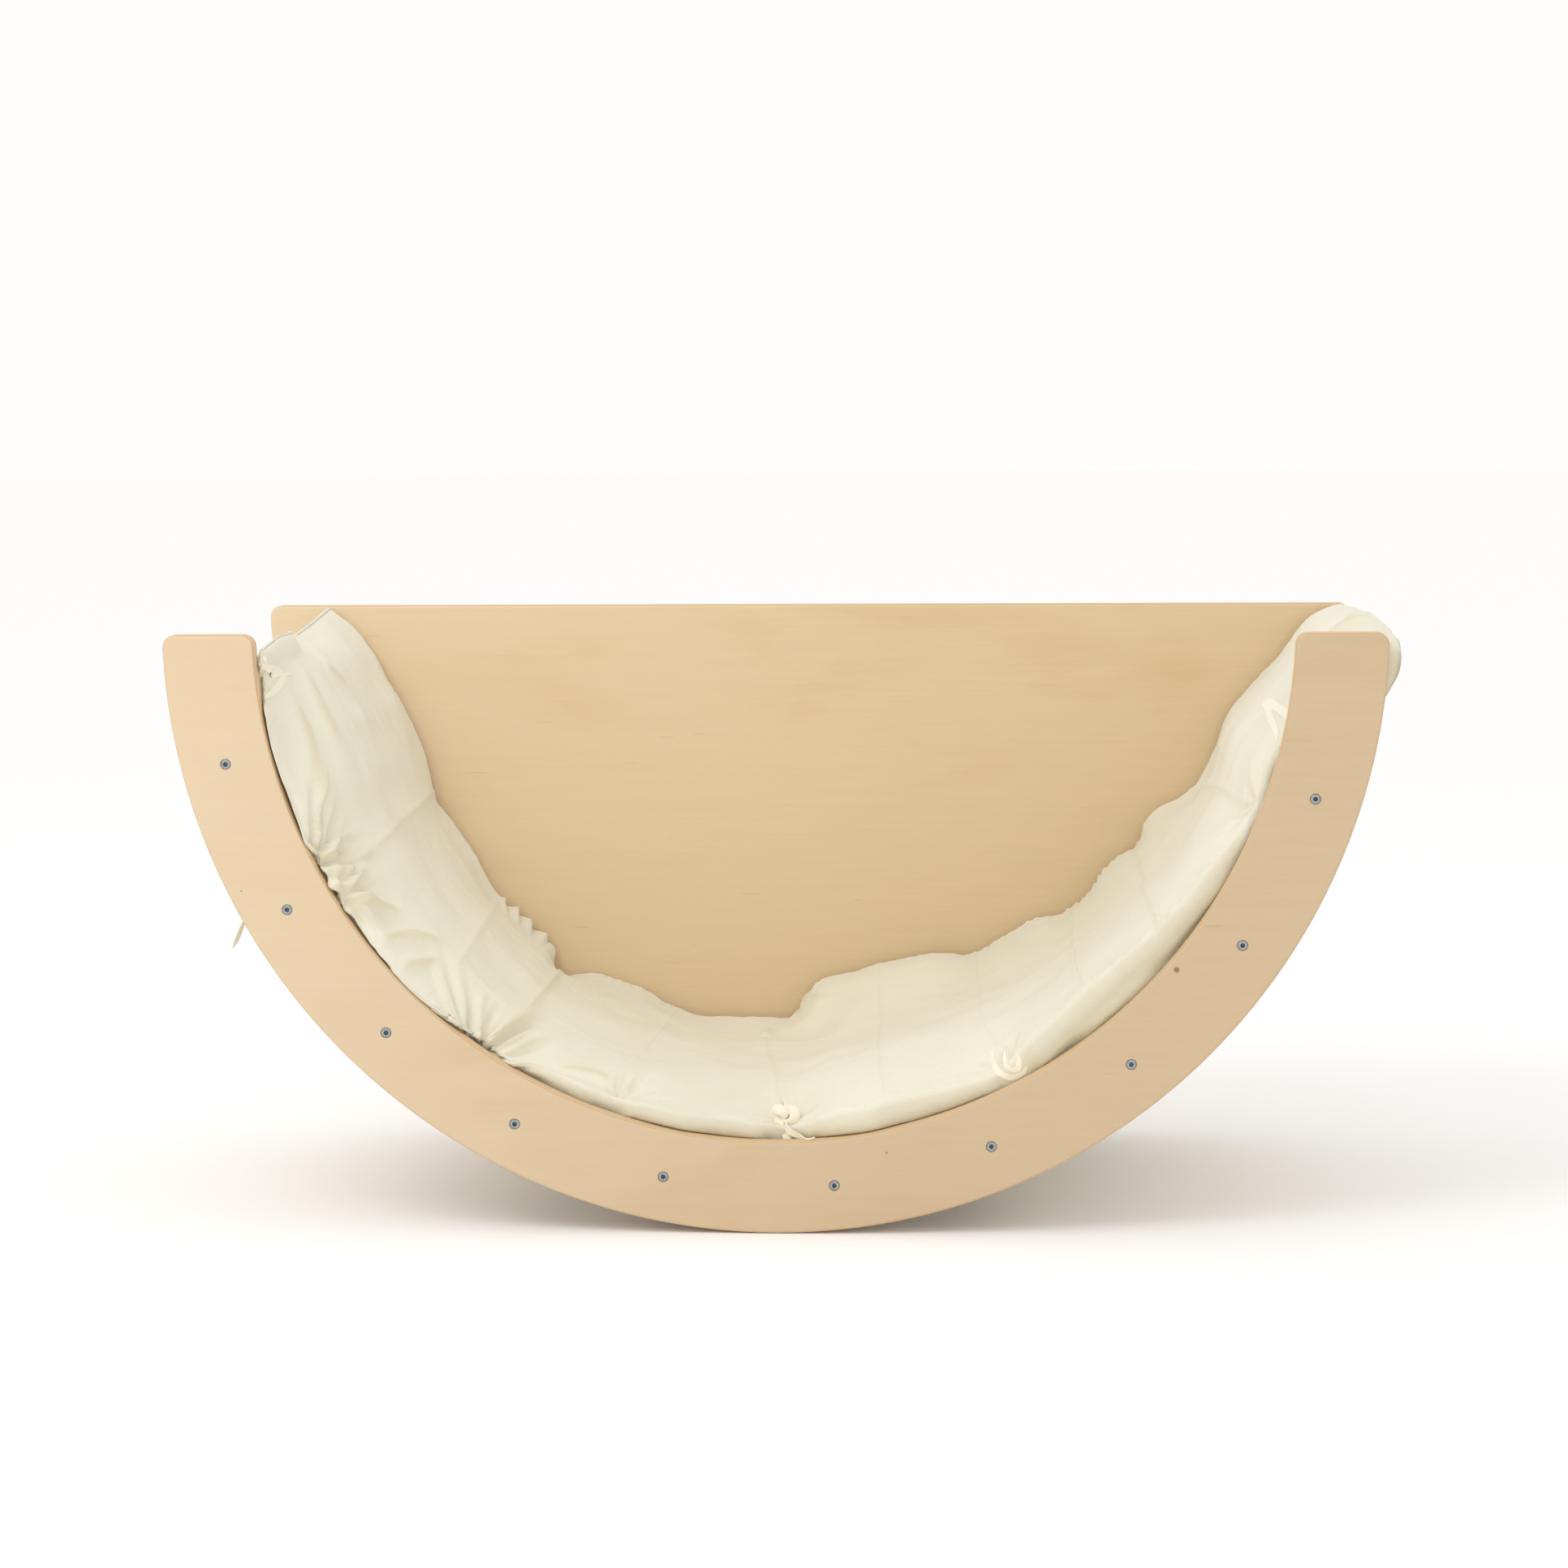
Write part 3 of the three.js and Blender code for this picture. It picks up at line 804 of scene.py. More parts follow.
MIDDLE_THICKNESS = [
    (88, 0.006), (86, 0.022), (84, 0.036), (76, 0.058), (69, 0.062), (60, 0.058), (50, 0.056),
    (36, 0.050), (33, 0.044), (28, 0.048), (10, 0.052), (-1, 0.058), (-6, 0.068), (-14, 0.074),
    (-22, 0.070), (-30, 0.066), (-50, 0.064), (-62, 0.052), (-68, 0.046), (-74, 0.050),
    (-80, 0.054), (-84, 0.064), (-86, 0.067),
]
FRONT_THICKNESS = [
    (88, 0.014), (86.5, 0.026), (84, 0.032), (76, 0.027), (57, 0.027), (50, 0.025), (31, 0.024),
    (24, 0.028), (19, 0.034), (10, 0.035), (-4, 0.033), (-11, 0.038), (-17, 0.036),
    (-25, 0.032), (-31, 0.040), (-35, 0.047), (-40, 0.051), (-46, 0.053), (-52, 0.045),
    (-58, 0.039), (-64, 0.034), (-69, 0.030), (-76, 0.038), (-82, 0.050), (-84, 0.058), (-86, 0.062),
]
# How soft the front upper edge is: 0 for a crisp boxed edge, 1 for a rounded roll.
FRONT_SOFTNESS = [
    (88, 0.8), (70, 1.0), (38, 1.0), (31, 0.5), (26, 0.1), (-60, 0.05), (-67, 0.6), (-86, 0.6),
]
# How far the front edge leans out over the rim of the open panel.
FRONT_LEAN = [
    (88, 0.006), (85, 0.018), (80, 0.030), (34, 0.030), (26, 0.022), (10, 0.018), (-12, 0.017),
    (-22, 0.012), (-30, 0.008), (-60, 0.006), (-70, 0.001),
]
FRONT_CROWN = 0.150  # width over which the top rises from its front edge
RIM_HEIGHT = 0.0192  # the height above the underside of the rim of the open panel
BACK_RISE = 0.165
SAG = 0.005
# How far short of its full length each end stops, at distances from the front edge.
LEFT_END_LINE = [(0, 0.006), (0.07, 0.0), (0.15, 0.001), (0.205, 0.004), (0.25, 0.009),
                 (0.33, 0.002), (0.406, -0.006)]
RIGHT_END_LINE = [(0, 0.0), (0.2, 0.006), (0.406, 0.011)]
END_REACH = (0.030, 0.018)  # how far from each end that shortening is felt
END_TUCK = (0.0, 0.009)  # how much shorter still the underside is at each end
END_LIFT = 0.022
# Places where a tie or a seam draws the mat down: arch angle, front or back edge, and depth.
PINCHES = [
    (84.0, 0, 0.008), (62.0, 0, 0.006), (57.3, 0, 0.005), (34.9, 0, 0.012), (18.6, 0, 0.006),
    (-0.8, 0, 0.010), (-27.6, 0, 0.010), (-69.0, 0, 0.006), (61.8, 1, 0.004), (33.4, 1, 0.006),
    (1.4, 1, 0.004), (-53.3, 1, 0.004), (-62.5, 1, 0.002),
]
PINCH_REACH = 0.018
PINCH_ACROSS = 0.045
TABLE_BLUR = 0.006

TOP_COUNT = 58
SIDE_COUNT = 7
SIDE_CLOTH = 0.050  # metres of cloth down each side, for the weave
REFINED = 3  # how many fine steps the sculpted cloth has for each step of the simulated one


def cubic(a, b, c, d, share):
    """The smooth curve from b to c, between the neighbours a and d, at a share of the way."""
    bend = (2 * a - 5 * b + 4 * c - d) * share**2 + (3 * b - a - 3 * c + d) * share**3
    return b + 0.5 * ((c - a) * share + bend)


def smooth_step(value):
    value = np.clip(value, 0, 1)
    return value * value * (3 - 2 * value)


def along_mat(table):
    """The table's value at every row of the mat, blurred a little along its length."""
    lengths = [length_at(angle) for angle, _ in table]
    reach = int(3 * TABLE_BLUR / STEP) + 1
    offsets = np.arange(-reach, reach + 1) * STEP
    weights = np.exp(-0.5 * (offsets / TABLE_BLUR) ** 2)
    weights /= weights.sum()
    heights = [value for _, value in table]
    return sum(w * np.interp(LINE_LENGTH + o, lengths, heights) for w, o in zip(weights, offsets))


def top_heights():
    """Heights of the mat's top above its underside, one row per station, front to back."""
    across = np.linspace(0, MAT_WIDTH, TOP_COUNT + 1)
    front = along_mat(FRONT_THICKNESS)[:, None]
    middle = along_mat(MIDDLE_THICKNESS)[:, None]
    back = along_mat(BACK_THICKNESS)[:, None]
    drift = np.sin(LINE_LENGTH * 31) + 0.6 * np.sin(LINE_LENGTH * 73 + 1)
    crown_width = FRONT_CROWN * (1 + 0.16 * drift[:, None])
    rise_width = BACK_RISE * (1 - 0.14 * drift[:, None])
    crown = 1 - (1 - np.clip(across / crown_width, 0, 1)) ** 3
    rise = smooth_step((across - (MAT_WIDTH - rise_width)) / rise_width)
    heights = front + (middle - front) * crown + (back - middle) * rise
    for angle, side, depth in PINCHES:
        gap = LINE_LENGTH[:, None] - length_at(angle)
        inwards = across - side * MAT_WIDTH
        heights -= depth * np.exp(-((gap / PINCH_REACH) ** 2) - (inwards / PINCH_ACROSS) ** 2)
    return heights


def loop_points():
    """Across and up positions of every vertex, rows along the mat and loops around it.

    A loop goes up the front, over the top, down the back and home along the underside.
    """
    top = top_heights()
    across = np.linspace(0, 1, TOP_COUNT + 1)
    side = np.linspace(0, 1, SIDE_COUNT + 1)
    rows = len(LINE_LENGTH)
    wide = np.zeros((rows, 2 * (TOP_COUNT + SIDE_COUNT)))
    high = np.zeros_like(wide)
    corner = SIDE_COUNT + TOP_COUNT
    high[:, :SIDE_COUNT] = top[:, :1] * side[:-1]
    wide[:, SIDE_COUNT:corner + 1] = across
    high[:, SIDE_COUNT:corner + 1] = top
    wide[:, corner:corner + SIDE_COUNT + 1] = 1
    high[:, corner:corner + SIDE_COUNT + 1] = top[:, -1:] * side[::-1]
    wide[:, corner + SIDE_COUNT:] = across[:0:-1]
    return MAT_FRONT_Y + wide * MAT_WIDTH, high


ROUNDING_PASSES = 26


def round_loops(wide, high):
    """Rounds every loop's corners, with more passes where the front edge is soft."""
    softness = along_mat(FRONT_SOFTNESS)[:, None]
    loop = np.arange(wide.shape[1])
    near_front = np.exp(-(((loop - SIDE_COUNT) / 9.0) ** 2))[None, :]
    everywhere = 2
    for step in range(ROUNDING_PASSES):
        share = 0.4 if step < everywhere else 0.5 * softness * near_front
        for part in (wide, high):
            mean = (np.roll(part, 1, axis=1) + np.roll(part, -1, axis=1)) / 2
            part += (mean - part) * share
    return wide, high


def base_mat():
    """The mat before its cloth is inflated: rows along it, points around it."""
    wide, high = round_loops(*loop_points())
    rung_lengths = np.array([length_at(angle) for angle in RUNG_ANGLES])
    gap = np.abs(LINE_LENGTH[:, None] - rung_lengths[None, :]).min(axis=1)
    on_rungs = np.cos(np.clip(gap / 0.064, 0, 1) * math.pi) * 0.5 + 0.5
    low = np.exp(-(((high - high.min(axis=1, keepdims=True)) / 0.02) ** 2))
    high = high - SAG * (1 - on_rungs)[:, None] * low
    near_end = np.exp(-((LINE_LENGTH[:, None] / 0.035) ** 2))
    lifted = END_LIFT * near_end * smooth_step((0.235 - (wide - MAT_FRONT_Y)) / 0.12)
    high = np.maximum(high, lifted + high * 0.45)
    lean = along_mat(FRONT_LEAN)[:, None] * smooth_step((high - RIM_HEIGHT + 0.001) / 0.004)
    wide = wide - lean * smooth_step(1 - (wide - MAT_FRONT_Y) / 0.05)
    points = np.zeros((*high.shape, 3))
    points[:, :, 0] = LINE[:, :1] + LINE_UP[:, :1] * high
    points[:, :, 1] = wide
    points[:, :, 2] = LINE[:, 1:] + LINE_UP[:, 1:] * high
    across = wide - MAT_FRONT_Y
    lengths = LINE_LENGTH[:, None]
    ends = ((LEFT_END_LINE, lengths, 1), (RIGHT_END_LINE, MAT_LENGTH - lengths, -1))
    for (line, from_end, sign), reach, tuck in zip(ends, END_REACH, END_TUCK):
        short = np.interp(across, [q for q, _ in line], [value for _, value in line])
        short += tuck * low
        short *= sign * np.exp(-from_end / reach)
        points[:, :, 0] += LINE_ALONG[:, :1] * short
        points[:, :, 2] += LINE_ALONG[:, 1:] * short
    return points


# ---- mat: mesh from rows of loops ----


def cap_grid(loop, outward, top_count, side_count):
    """Interior points of an end face, between the top and the underside of the end loop."""
    corner = side_count + top_count
    top = loop[side_count:corner + 1]
    bottom = np.r_[loop[corner + side_count:], loop[:1]][::-1]
    across = np.linspace(0, 1, top_count + 1)[1:-1, None]
    reach = np.minimum(np.minimum(across, 1 - across) / 0.06, 1)
    rows = []
    for k in range(1, side_count):
        share = k / side_count
        straight = bottom * (1 - share) + top * share
        front = loop[k] - straight[0]
        back = loop[corner + side_count - k] - straight[-1]
        bulge = outward * (4 * share * (1 - share)) * np.sqrt(reach)
        rows.append(straight[1:-1] + front * (1 - across) ** 8 + back * across**8 + bulge)
    return np.array(rows)


def mat_faces(rows, top_count, side_count):
    """Quads of the tube, and of both end faces, by vertex number."""
    around = 2 * (top_count + side_count)
    corner = side_count + top_count
    faces = []
    for i in range(rows - 1):
        for j in range(around):
            k = (j + 1) % around
            here = i * around
            faces.append((here + j, here + k, here + around + k, here + around + j))
    inner = (side_count - 1) * (top_count - 1)
    for end, row in enumerate((0, rows - 1)):
        start = row * around

        def number(k, j):
            if k == side_count:
                return start + side_count + j
            if k == 0:
                return start + (around - j) % around
            if j == 0:
                return start + k
            if j == top_count:
                return start + corner + side_count - k
            return rows * around + end * inner + (k - 1) * (top_count - 1) + j - 1

        for k in range(side_count):
            for j in range(top_count):
                quad = (number(k, j), number(k, j + 1), number(k + 1, j + 1), number(k + 1, j))
                faces.append(quad if end else quad[::-1])
    return faces


END_BULGE = (0.001, 0.004)
# Over what length each end closes, and how much of its thickness it loses there.
END_CLOSING = ((0.007, 0.93), (0.005, 0.70))


def mat_mesh(points, fine):
    """A closed mesh of the tube's points with an end face at each end, and its cloth UV map."""
    top_count = TOP_COUNT * fine
    side_count = SIDE_COUNT * fine
    ends = []
    for row, sign in ((0, -END_BULGE[0]), (-1, END_BULGE[1])):
        outward = sign * np.array([LINE_ALONG[row, 0], 0, LINE_ALONG[row, 1]])
        ends.append(cap_grid(points[row], outward, top_count, side_count).reshape(-1, 3))
    tube = points.reshape(-1, 3)
    places = np.vstack([tube, *ends])
    mesh = bpy.data.meshes.new("padded_mat")
    mesh.from_pydata(places.tolist(), [], mat_faces(len(points), top_count, side_count))
    along, around = cloth_places(fine)
    cloth = np.zeros((len(places), 2))
    cloth[:len(tube), 0] = along.ravel()
    cloth[:len(tube), 1] = around.ravel()
    cloth[len(tube):] = places[len(tube):, 2:0:-1]
    layer = mesh.uv_layers.new(name="cloth")
    corners = np.zeros(len(mesh.loops), dtype=int)
    mesh.loops.foreach_get("vertex_index", corners)
    layer.data.foreach_set("uv", cloth[corners].ravel())
    mesh.shade_smooth()
    return mesh


def cloth_places(fine):
    """Every vertex's place on the cloth in metres: along the mat, and round it.

    Round it counts from the front upper edge: negative down the front, positive over the top.
    """
    along = np.linspace(0, MAT_LENGTH, (len(LINE_LENGTH) - 1) * fine + 1)
    side = np.full(SIDE_COUNT * fine, SIDE_CLOTH / (SIDE_COUNT * fine))
    top = np.full(TOP_COUNT * fine, MAT_WIDTH / (TOP_COUNT * fine))
    spacing = np.r_[side, top, side, top]
    around = np.cumsum(spacing) - spacing
    return np.meshgrid(along, around - SIDE_CLOTH, indexing="ij")


def refine(points, fine):
    """More rows and loops by cubic interpolation, so that the fine cloth stays smooth."""
    for axis, closed in ((0, False), (1, True)):
        count = points.shape[axis]
        last = count if closed else count - 1
        wanted = np.arange(last * fine + (0 if closed else 1)) / fine
        base = np.minimum(wanted.astype(int), last - 1)
        share = (wanted - base).reshape((-1, 1, 1) if axis == 0 else (1, -1, 1))
        picks = []
        for offset in (-1, 0, 1, 2):
            index = base + offset
            index = index % count if closed else np.clip(index, 0, count - 1)
            picks.append(np.take(points, index, axis=axis))
        points = cubic(*picks, share)
    return points


def box_front_edge(points):
    """Brings the front upper edge to a crisp corner where the cover is boxed."""
    rows = np.linspace(0, MAT_LENGTH, len(points))
    crisp = 1 - np.interp(rows, LINE_LENGTH, along_mat(FRONT_SOFTNESS))[:, None]
    corner = SIDE_COUNT * REFINED
    below, reach, run = 8, 9, 5
    face = points[:, corner - below]
    near = points[:, corner + reach]
    slope = (near - points[:, corner + reach + run]) / run
    slope /= np.minimum(slope[:, 1:2], -0.001)
    edge = near + slope * (face[:, 1:2] - near[:, 1:2])
    for k in range(-below, reach + 1):
        share = k / reach if k > 0 else -k / below
        target = edge + ((near if k > 0 else face) - edge) * share
        if k < 0:
            target[:, 1] -= 0.0016 * math.sin(math.pi * share)
        here = points[:, corner + k]
        points[:, corner + k] = here + (target - here) * crisp
    return points


def round_ends(points):
    """Closes the left end to a thin seam, and rounds the right end as a pillow's."""
    rows = np.linspace(0, MAT_LENGTH, len(points))
    partner = (SIDE_COUNT * REFINED - np.arange(points.shape[1])) % points.shape[1]
    for (reach, most), from_end in zip(END_CLOSING, (rows, MAT_LENGTH - rows)):
        middle = (points + points[:, partner]) / 2
        share = np.clip(1 - from_end / reach, 0, most)
        keep = np.sqrt(1 - share**2)[:, None, None]
        points = middle + (points - middle) * keep
    return points


def relaxed(points, passes):
    """The points after some passes of moving every one to the mean of its neighbours."""
    for _ in range(passes):
        ahead = np.r_[points[1:], points[-1:]]
        behind = np.r_[points[:1], points[:-1]]
        beside = np.roll(points, 1, axis=1) + np.roll(points, -1, axis=1)
        points = (ahead + behind + beside) / 4
    return points


def surface_normals(points):
    along = np.gradient(points, axis=0)
    around = np.roll(points, -1, axis=1) - np.roll(points, 1, axis=1)
    normals = np.cross(around, along)
    return normals / np.maximum(np.linalg.norm(normals, axis=2, keepdims=True), 1e-9)


# ---- mat: inflation by cloth simulation ----

SIM_FRAMES = 14
SIM_CAP = 0.009  # the furthest that the simulation may move a point
CLOTH_SETTINGS = {
    "quality": 5,
    "mass": 0.25,
    "tension_stiffness": 12,
    "compression_stiffness": 12,
    "shear_stiffness": 4,
    "bending_stiffness": 0.35,
    "air_damping": 2,
    "use_pressure": True,
    "uniform_pressure_force": 4,
    "shrink_min": -0.006,
    "shrink_max": -0.075,
    "vertex_group_shrink": "gathered",
    "vertex_group_mass": "held",
    "pin_stiffness": 2,
}


# Where the cover has more cloth than it needs: arch angle, reach in metres, and share.
GATHERS = [
    (84, 0.04, 0.7), (61, 0.05, 1.0), (54, 0.05, 1.0), (46, 0.05, 0.7), (35, 0.06, 1.0),
    (19, 0.035, 0.6), (-1, 0.03, 0.7), (-28, 0.035, 0.8), (-53, 0.02, 0.4), (-69, 0.04, 0.8),
]


def weigh(piece, name, weights):
    """A vertex group with the given weights, in even steps."""
    steps = 20
    group = piece.vertex_groups.new(name=name)
    levels = np.round(weights.ravel() * steps).astype(int)
    for level in range(1, steps + 1):
        group.add(np.nonzero(levels == level)[0].tolist(), level / steps, "REPLACE")


def inflate(points):
    """Fills the cover with air as simulated cloth, held at the rungs and at the ties."""
    mesh = mat_mesh(points, 1)
    sack = bpy.data.objects.new("inflating", mesh)
    bpy.context.scene.collection.objects.link(sack)
    along, around = cloth_places(1)
    under = around > MAT_WIDTH + 2 * SIDE_CLOTH
    rung_lengths = np.array([length_at(angle) for angle in RUNG_ANGLES])
    gap = np.abs(along[:, :, None] - rung_lengths).min(axis=2)
    held = np.where(under, np.exp(-((gap / 0.014) ** 2)), 0.0)
    for angle, side, _ in PINCHES:
        apart = np.hypot(along - length_at(angle), around - side * MAT_WIDTH)
        held = np.maximum(held, np.exp(-((apart / 0.012) ** 2)))
    ends = np.minimum(along, MAT_LENGTH - along)
    held = np.maximum(held, 0.8 * np.exp(-((ends / 0.012) ** 2)))
    gathered = np.zeros(held.shape)
    for angle, reach, share in GATHERS:
        apart = np.hypot(along - length_at(angle), 0.6 * around)
        gathered = np.maximum(gathered, share * np.exp(-((apart / reach) ** 2)))
    weigh(sack, "gathered", gathered)
    weigh(sack, "held", held)
    sack.vertex_groups["held"].add(list(range(held.size, len(mesh.vertices))), 0.6, "REPLACE")
    cloth = sack.modifiers.new("cloth", "CLOTH")
    for name, value in CLOTH_SETTINGS.items():
        setattr(cloth.settings, name, value)
    cloth.settings.effector_weights.gravity = 0
    cloth.collision_settings.use_collision = False
    cloth.point_cache.frame_start = 1
    cloth.point_cache.frame_end = SIM_FRAMES
    for number in range(1, SIM_FRAMES + 1):
        bpy.context.scene.frame_set(number)
    result = sack.evaluated_get(bpy.context.evaluated_depsgraph_get()).data
    flat = np.zeros(len(result.vertices) * 3)
    result.vertices.foreach_get("co", flat)
    puffed = flat.reshape(-1, 3)[:held.size].reshape(points.shape)
    bpy.data.objects.remove(sack)
    bpy.context.scene.frame_set(1)
    move = puffed - points
    length = np.maximum(np.linalg.norm(move, axis=2, keepdims=True), 1e-9)
    share = (0.2 + 0.8 * gathered)[:, :, None]
    return points + move / length * share * SIM_CAP * np.tanh(length / SIM_CAP)


# ---- mat: sewn channels, folds and gathers ----


CHANNEL_WIDTH = 0.006
# A sewn channel this deep takes the full painted shade of a crease.
DEEP_CHANNEL = 0.008  # the depth at which a sewn channel counts as fully hollow
RUFFLE_REACH = 0.026
FIRM_LENGTH = 0.022  # how far from the left end the cloth takes up its full relief


class Sculpt:
    """The fine cloth, with heights along its normals that each kind of fold adds to."""

    def __init__(self, points):
        self.points = points
        self.along, self.around = cloth_places(REFINED)
        self.heights = np.zeros(points.shape[:2])
        self.lifts = np.zeros(points.shape[:2])
        # How deep each point lies in a fold, for the shade painted there.
        self.hollow = np.zeros(points.shape[:2])
        rows = np.linspace(0, MAT_LENGTH, points.shape[0])
        up = [np.interp(rows, LINE_LENGTH, LINE_UP[:, k]) for k in range(2)]
        self.up = np.stack([up[0], np.zeros(len(rows)), up[1]], axis=1)[:, None, :]

    def apply(self):
        """Moves the cloth by the heights and lifts so far, and starts again from level."""
        normals = surface_normals(relaxed(self.points, 5))
        firm = smooth_step(self.along / FIRM_LENGTH)
        self.points = self.points + normals * (self.heights * firm)[:, :, None]
        self.points += self.up * self.lifts[:, :, None]
        self.heights[:] = 0
        self.lifts[:] = 0

    def press(self, shape, full):
        """Adds a fold's heights, and notes how hollow it is, where the depth full counts as 1, for
        the shade painted there.
        """
        self.heights += shape
        self.hollow = np.maximum(self.hollow, np.clip(-shape / full, 0, 1) ** 2)

    def field(self, size, seed, stretch=1.0):
        """Smooth random values from -1 to 1, in patches of the given size in metres."""
        random = np.random.default_rng(seed)
        whole = self.around.max() - self.around.min() + MAT_WIDTH / (TOP_COUNT * REFINED)
        columns = max(int(round(whole / size)), 4)
        rows = int(MAT_LENGTH / (size * stretch)) + 3
        grid = random.uniform(-1, 1, (rows, columns))
        x = self.along / (size * stretch)
        y = (self.around - self.around.min()) / whole * columns
        i, j = x.astype(int), y.astype(int)
        u, v = smooth_step(x - i), smooth_step(y - j)
        near, far = j % columns, (j + 1) % columns
        low = grid[i, near] * (1 - v) + grid[i, far] * v
        high = grid[i + 1, near] * (1 - v) + grid[i + 1, far] * v
        return low * (1 - u) + high * u

    def path_distance(self, path):
        """Distance to a path of [arch angle, metres round the loop], and the share along it."""
        knots = [np.array((length_at(angle), around)) for angle, around in path]
        lengths = [np.linalg.norm(b - a) for a, b in zip(knots, knots[1:])]
        whole = sum(lengths)
        nearest = np.full(self.along.shape, 9.0)
        share = np.zeros(self.along.shape)
        passed = 0.0
        for a, b, length in zip(knots, knots[1:], lengths):
            way = (b - a) / length
            off_x, off_y = self.along - a[0], self.around - a[1]
            ahead = np.clip(off_x * way[0] + off_y * way[1], 0, length)
            apart = np.hypot(off_x - ahead * way[0], off_y - ahead * way[1])
            closer = apart < nearest
            nearest = np.where(closer, apart, nearest)
            share = np.where(closer, (passed + ahead) / whole, share)
            passed += length
        return nearest, share

    def crease(self, path, depth, width, puff=0.35, taper=0.25):
        """A groove along a path, with the cloth a little proud on both sides of it."""
        apart, share = self.path_distance(path)
        ends = smooth_step(share / taper) * smooth_step((1 - share) / taper)
        groove = -np.exp(-((apart / width) ** 2))
        groove += puff * np.exp(-(((apart - 2.4 * width) / (1.5 * width)) ** 2))
        self.press(depth * groove * ends, 1.4 * depth)

    def channel(self, path, depth):
        """A seam sewn right across the mat: a groove that doesn't fade at its ends."""
        apart, _ = self.path_distance(path)
        top = smooth_step((self.around + 0.012) / 0.02)
        top = top * smooth_step((MAT_WIDTH + 0.012 - self.around) / 0.02)
        soft = 0.55 * np.exp(-((apart / (CHANNEL_WIDTH * 3.2)) ** 2))
        sharp = 0.45 * np.exp(-((apart / (CHANNEL_WIDTH * 0.7)) ** 2))
        self.press(-depth * (soft + sharp) * top, DEEP_CHANNEL)

    def fan(self, angle, around, reach, folds, height, heading, spread, seed):
        """Folds that radiate from a gathered point. Heading 0 points towards the back."""
        random = np.random.default_rng(seed)
        centre = length_at(angle)
        off_x, off_y = self.along - centre, self.around - around
        for k in range(folds):
            turn = heading + spread * (2 * k / max(folds - 1, 1) - 1) + random.uniform(-5, 5)
            turn = math.radians(turn)
            way = (math.sin(turn), math.cos(turn))
            length = reach * random.uniform(0.55, 1.0)
            bend = random.uniform(-0.25, 0.25)
            ahead = off_x * way[0] + off_y * way[1]
            aside = off_x * way[1] - off_y * way[0] - bend * ahead * np.abs(ahead) / length
            width = 0.0022 + 0.044 * np.clip(ahead, 0, length)
            window = smooth_step(ahead / (0.16 * length)) * smooth_step(1.15 - ahead / length)
            window *= smooth_step((self.around + 0.012) / 0.014)
            ridge = np.exp(-np.abs(aside / width) ** 1.5)
            side = 1 if k % 2 else -1
            gully = np.exp(-(((aside - side * 1.9 * width) / (0.8 * width)) ** 2))
            tall = height * random.uniform(0.6, 1.15)
            self.press(tall * (ridge - 0.75 * gully) * window, 0.9 * height)

    def ruffle(self, first, last, around, spacing, height, seed):
        """Small sharp pleats along an edge, from one arch angle to another."""
        shift = self.field(0.05, seed)
        start, end = length_at(first), length_at(last)
        window = smooth_step((self.along - start) / 0.02) * smooth_step((end - self.along) / 0.02)
        window = window * np.exp(-(((self.around - around) / RUFFLE_REACH) ** 2))
        phase = (self.along / spacing + 0.9 * shift) % 1
        tooth = np.where(phase < 0.82, phase / 0.82, (1 - phase) / 0.18) - 0.5
        uneven = 0.65 + 0.5 * self.field(0.03, seed + 1)
        self.lifts += height * tooth * uneven * window


# Seams sewn across the mat: their path, by arch angle and metres from the front edge, and depth.
CHANNELS = [
    ([(60, 0.000), (61.3, 0.124), (62.7, 0.346), (62.4, 0.406)], 0.0036),
    ([(43, 0.060), (44.9, 0.245), (45.2, 0.406)], 0.0026),
    ([(34.6, 0.000), (32.9, 0.085), (33.1, 0.238), (33.2, 0.406)], 0.0046),
    ([(18.4, 0.000), (19.0, 0.030), (17.5, 0.200), (17.5, 0.406)], 0.0014),
    ([(-0.8, 0.000), (2.6, 0.160), (4.6, 0.300), (1.4, 0.406)], 0.0022),
    ([(-13, 0.000), (-12.6, 0.066), (-11, 0.335), (-11, 0.406)], 0.0016),
    ([(-27.6, 0.000), (-26, 0.120), (-25.2, 0.406)], 0.0016),
    ([(-40.6, 0.000), (-40.2, 0.200), (-40.4, 0.406)], 0.0024),
    ([(-52.2, 0.000), (-52.6, 0.120), (-53.3, 0.360), (-53.3, 0.406)], 0.0036),
    ([(-69.2, 0.000), (-68, 0.150), (-63, 0.406)], 0.0030),
]
# Long soft folds at the left end, then the small creases: path, depth and width, and for some
# also how proud the cloth is beside them and over what share of their length they fade.
LONG_FOLDS = [
    ([(83, 0.050), (76, 0.044), (67, 0.022)], 0.0034, 0.009),
    ([(85, 0.110), (79, 0.090), (73, 0.085)], 0.0030, 0.012),
    ([(84, 0.180), (80, 0.230)], 0.0026, 0.013),
]
CREASES = [
    ([(60.2, -0.012), (59.2, 0.004), (57.6, 0.022)], 0.0060, 0.004, 0.5, 0.4),
    ([(56.5, -0.01), (55.5, 0.030), (52, 0.060)], 0.0036, 0.005),
    ([(52, 0.008), (49.5, 0.045), (46, 0.070)], 0.0036, 0.006),
    ([(48, 0.010), (45, 0.050)], 0.0028, 0.005),
    ([(27, 0.020), (22, 0.034), (19.2, 0.030)], 0.0024, 0.005),
    ([(4.8, 0.290), (4.2, 0.325)], 0.0040, 0.006),
    ([(-3, 0.330), (1, 0.395)], 0.0040, 0.006),
    ([(-83.6, 0.074), (-84.7, 0.088), (-85.6, 0.096)], 0.0075, 0.004, 0.4, 0.3),
    ([(-84.6, 0.134), (-85.7, 0.144)], 0.0050, 0.004, 0.5, 0.4),
]
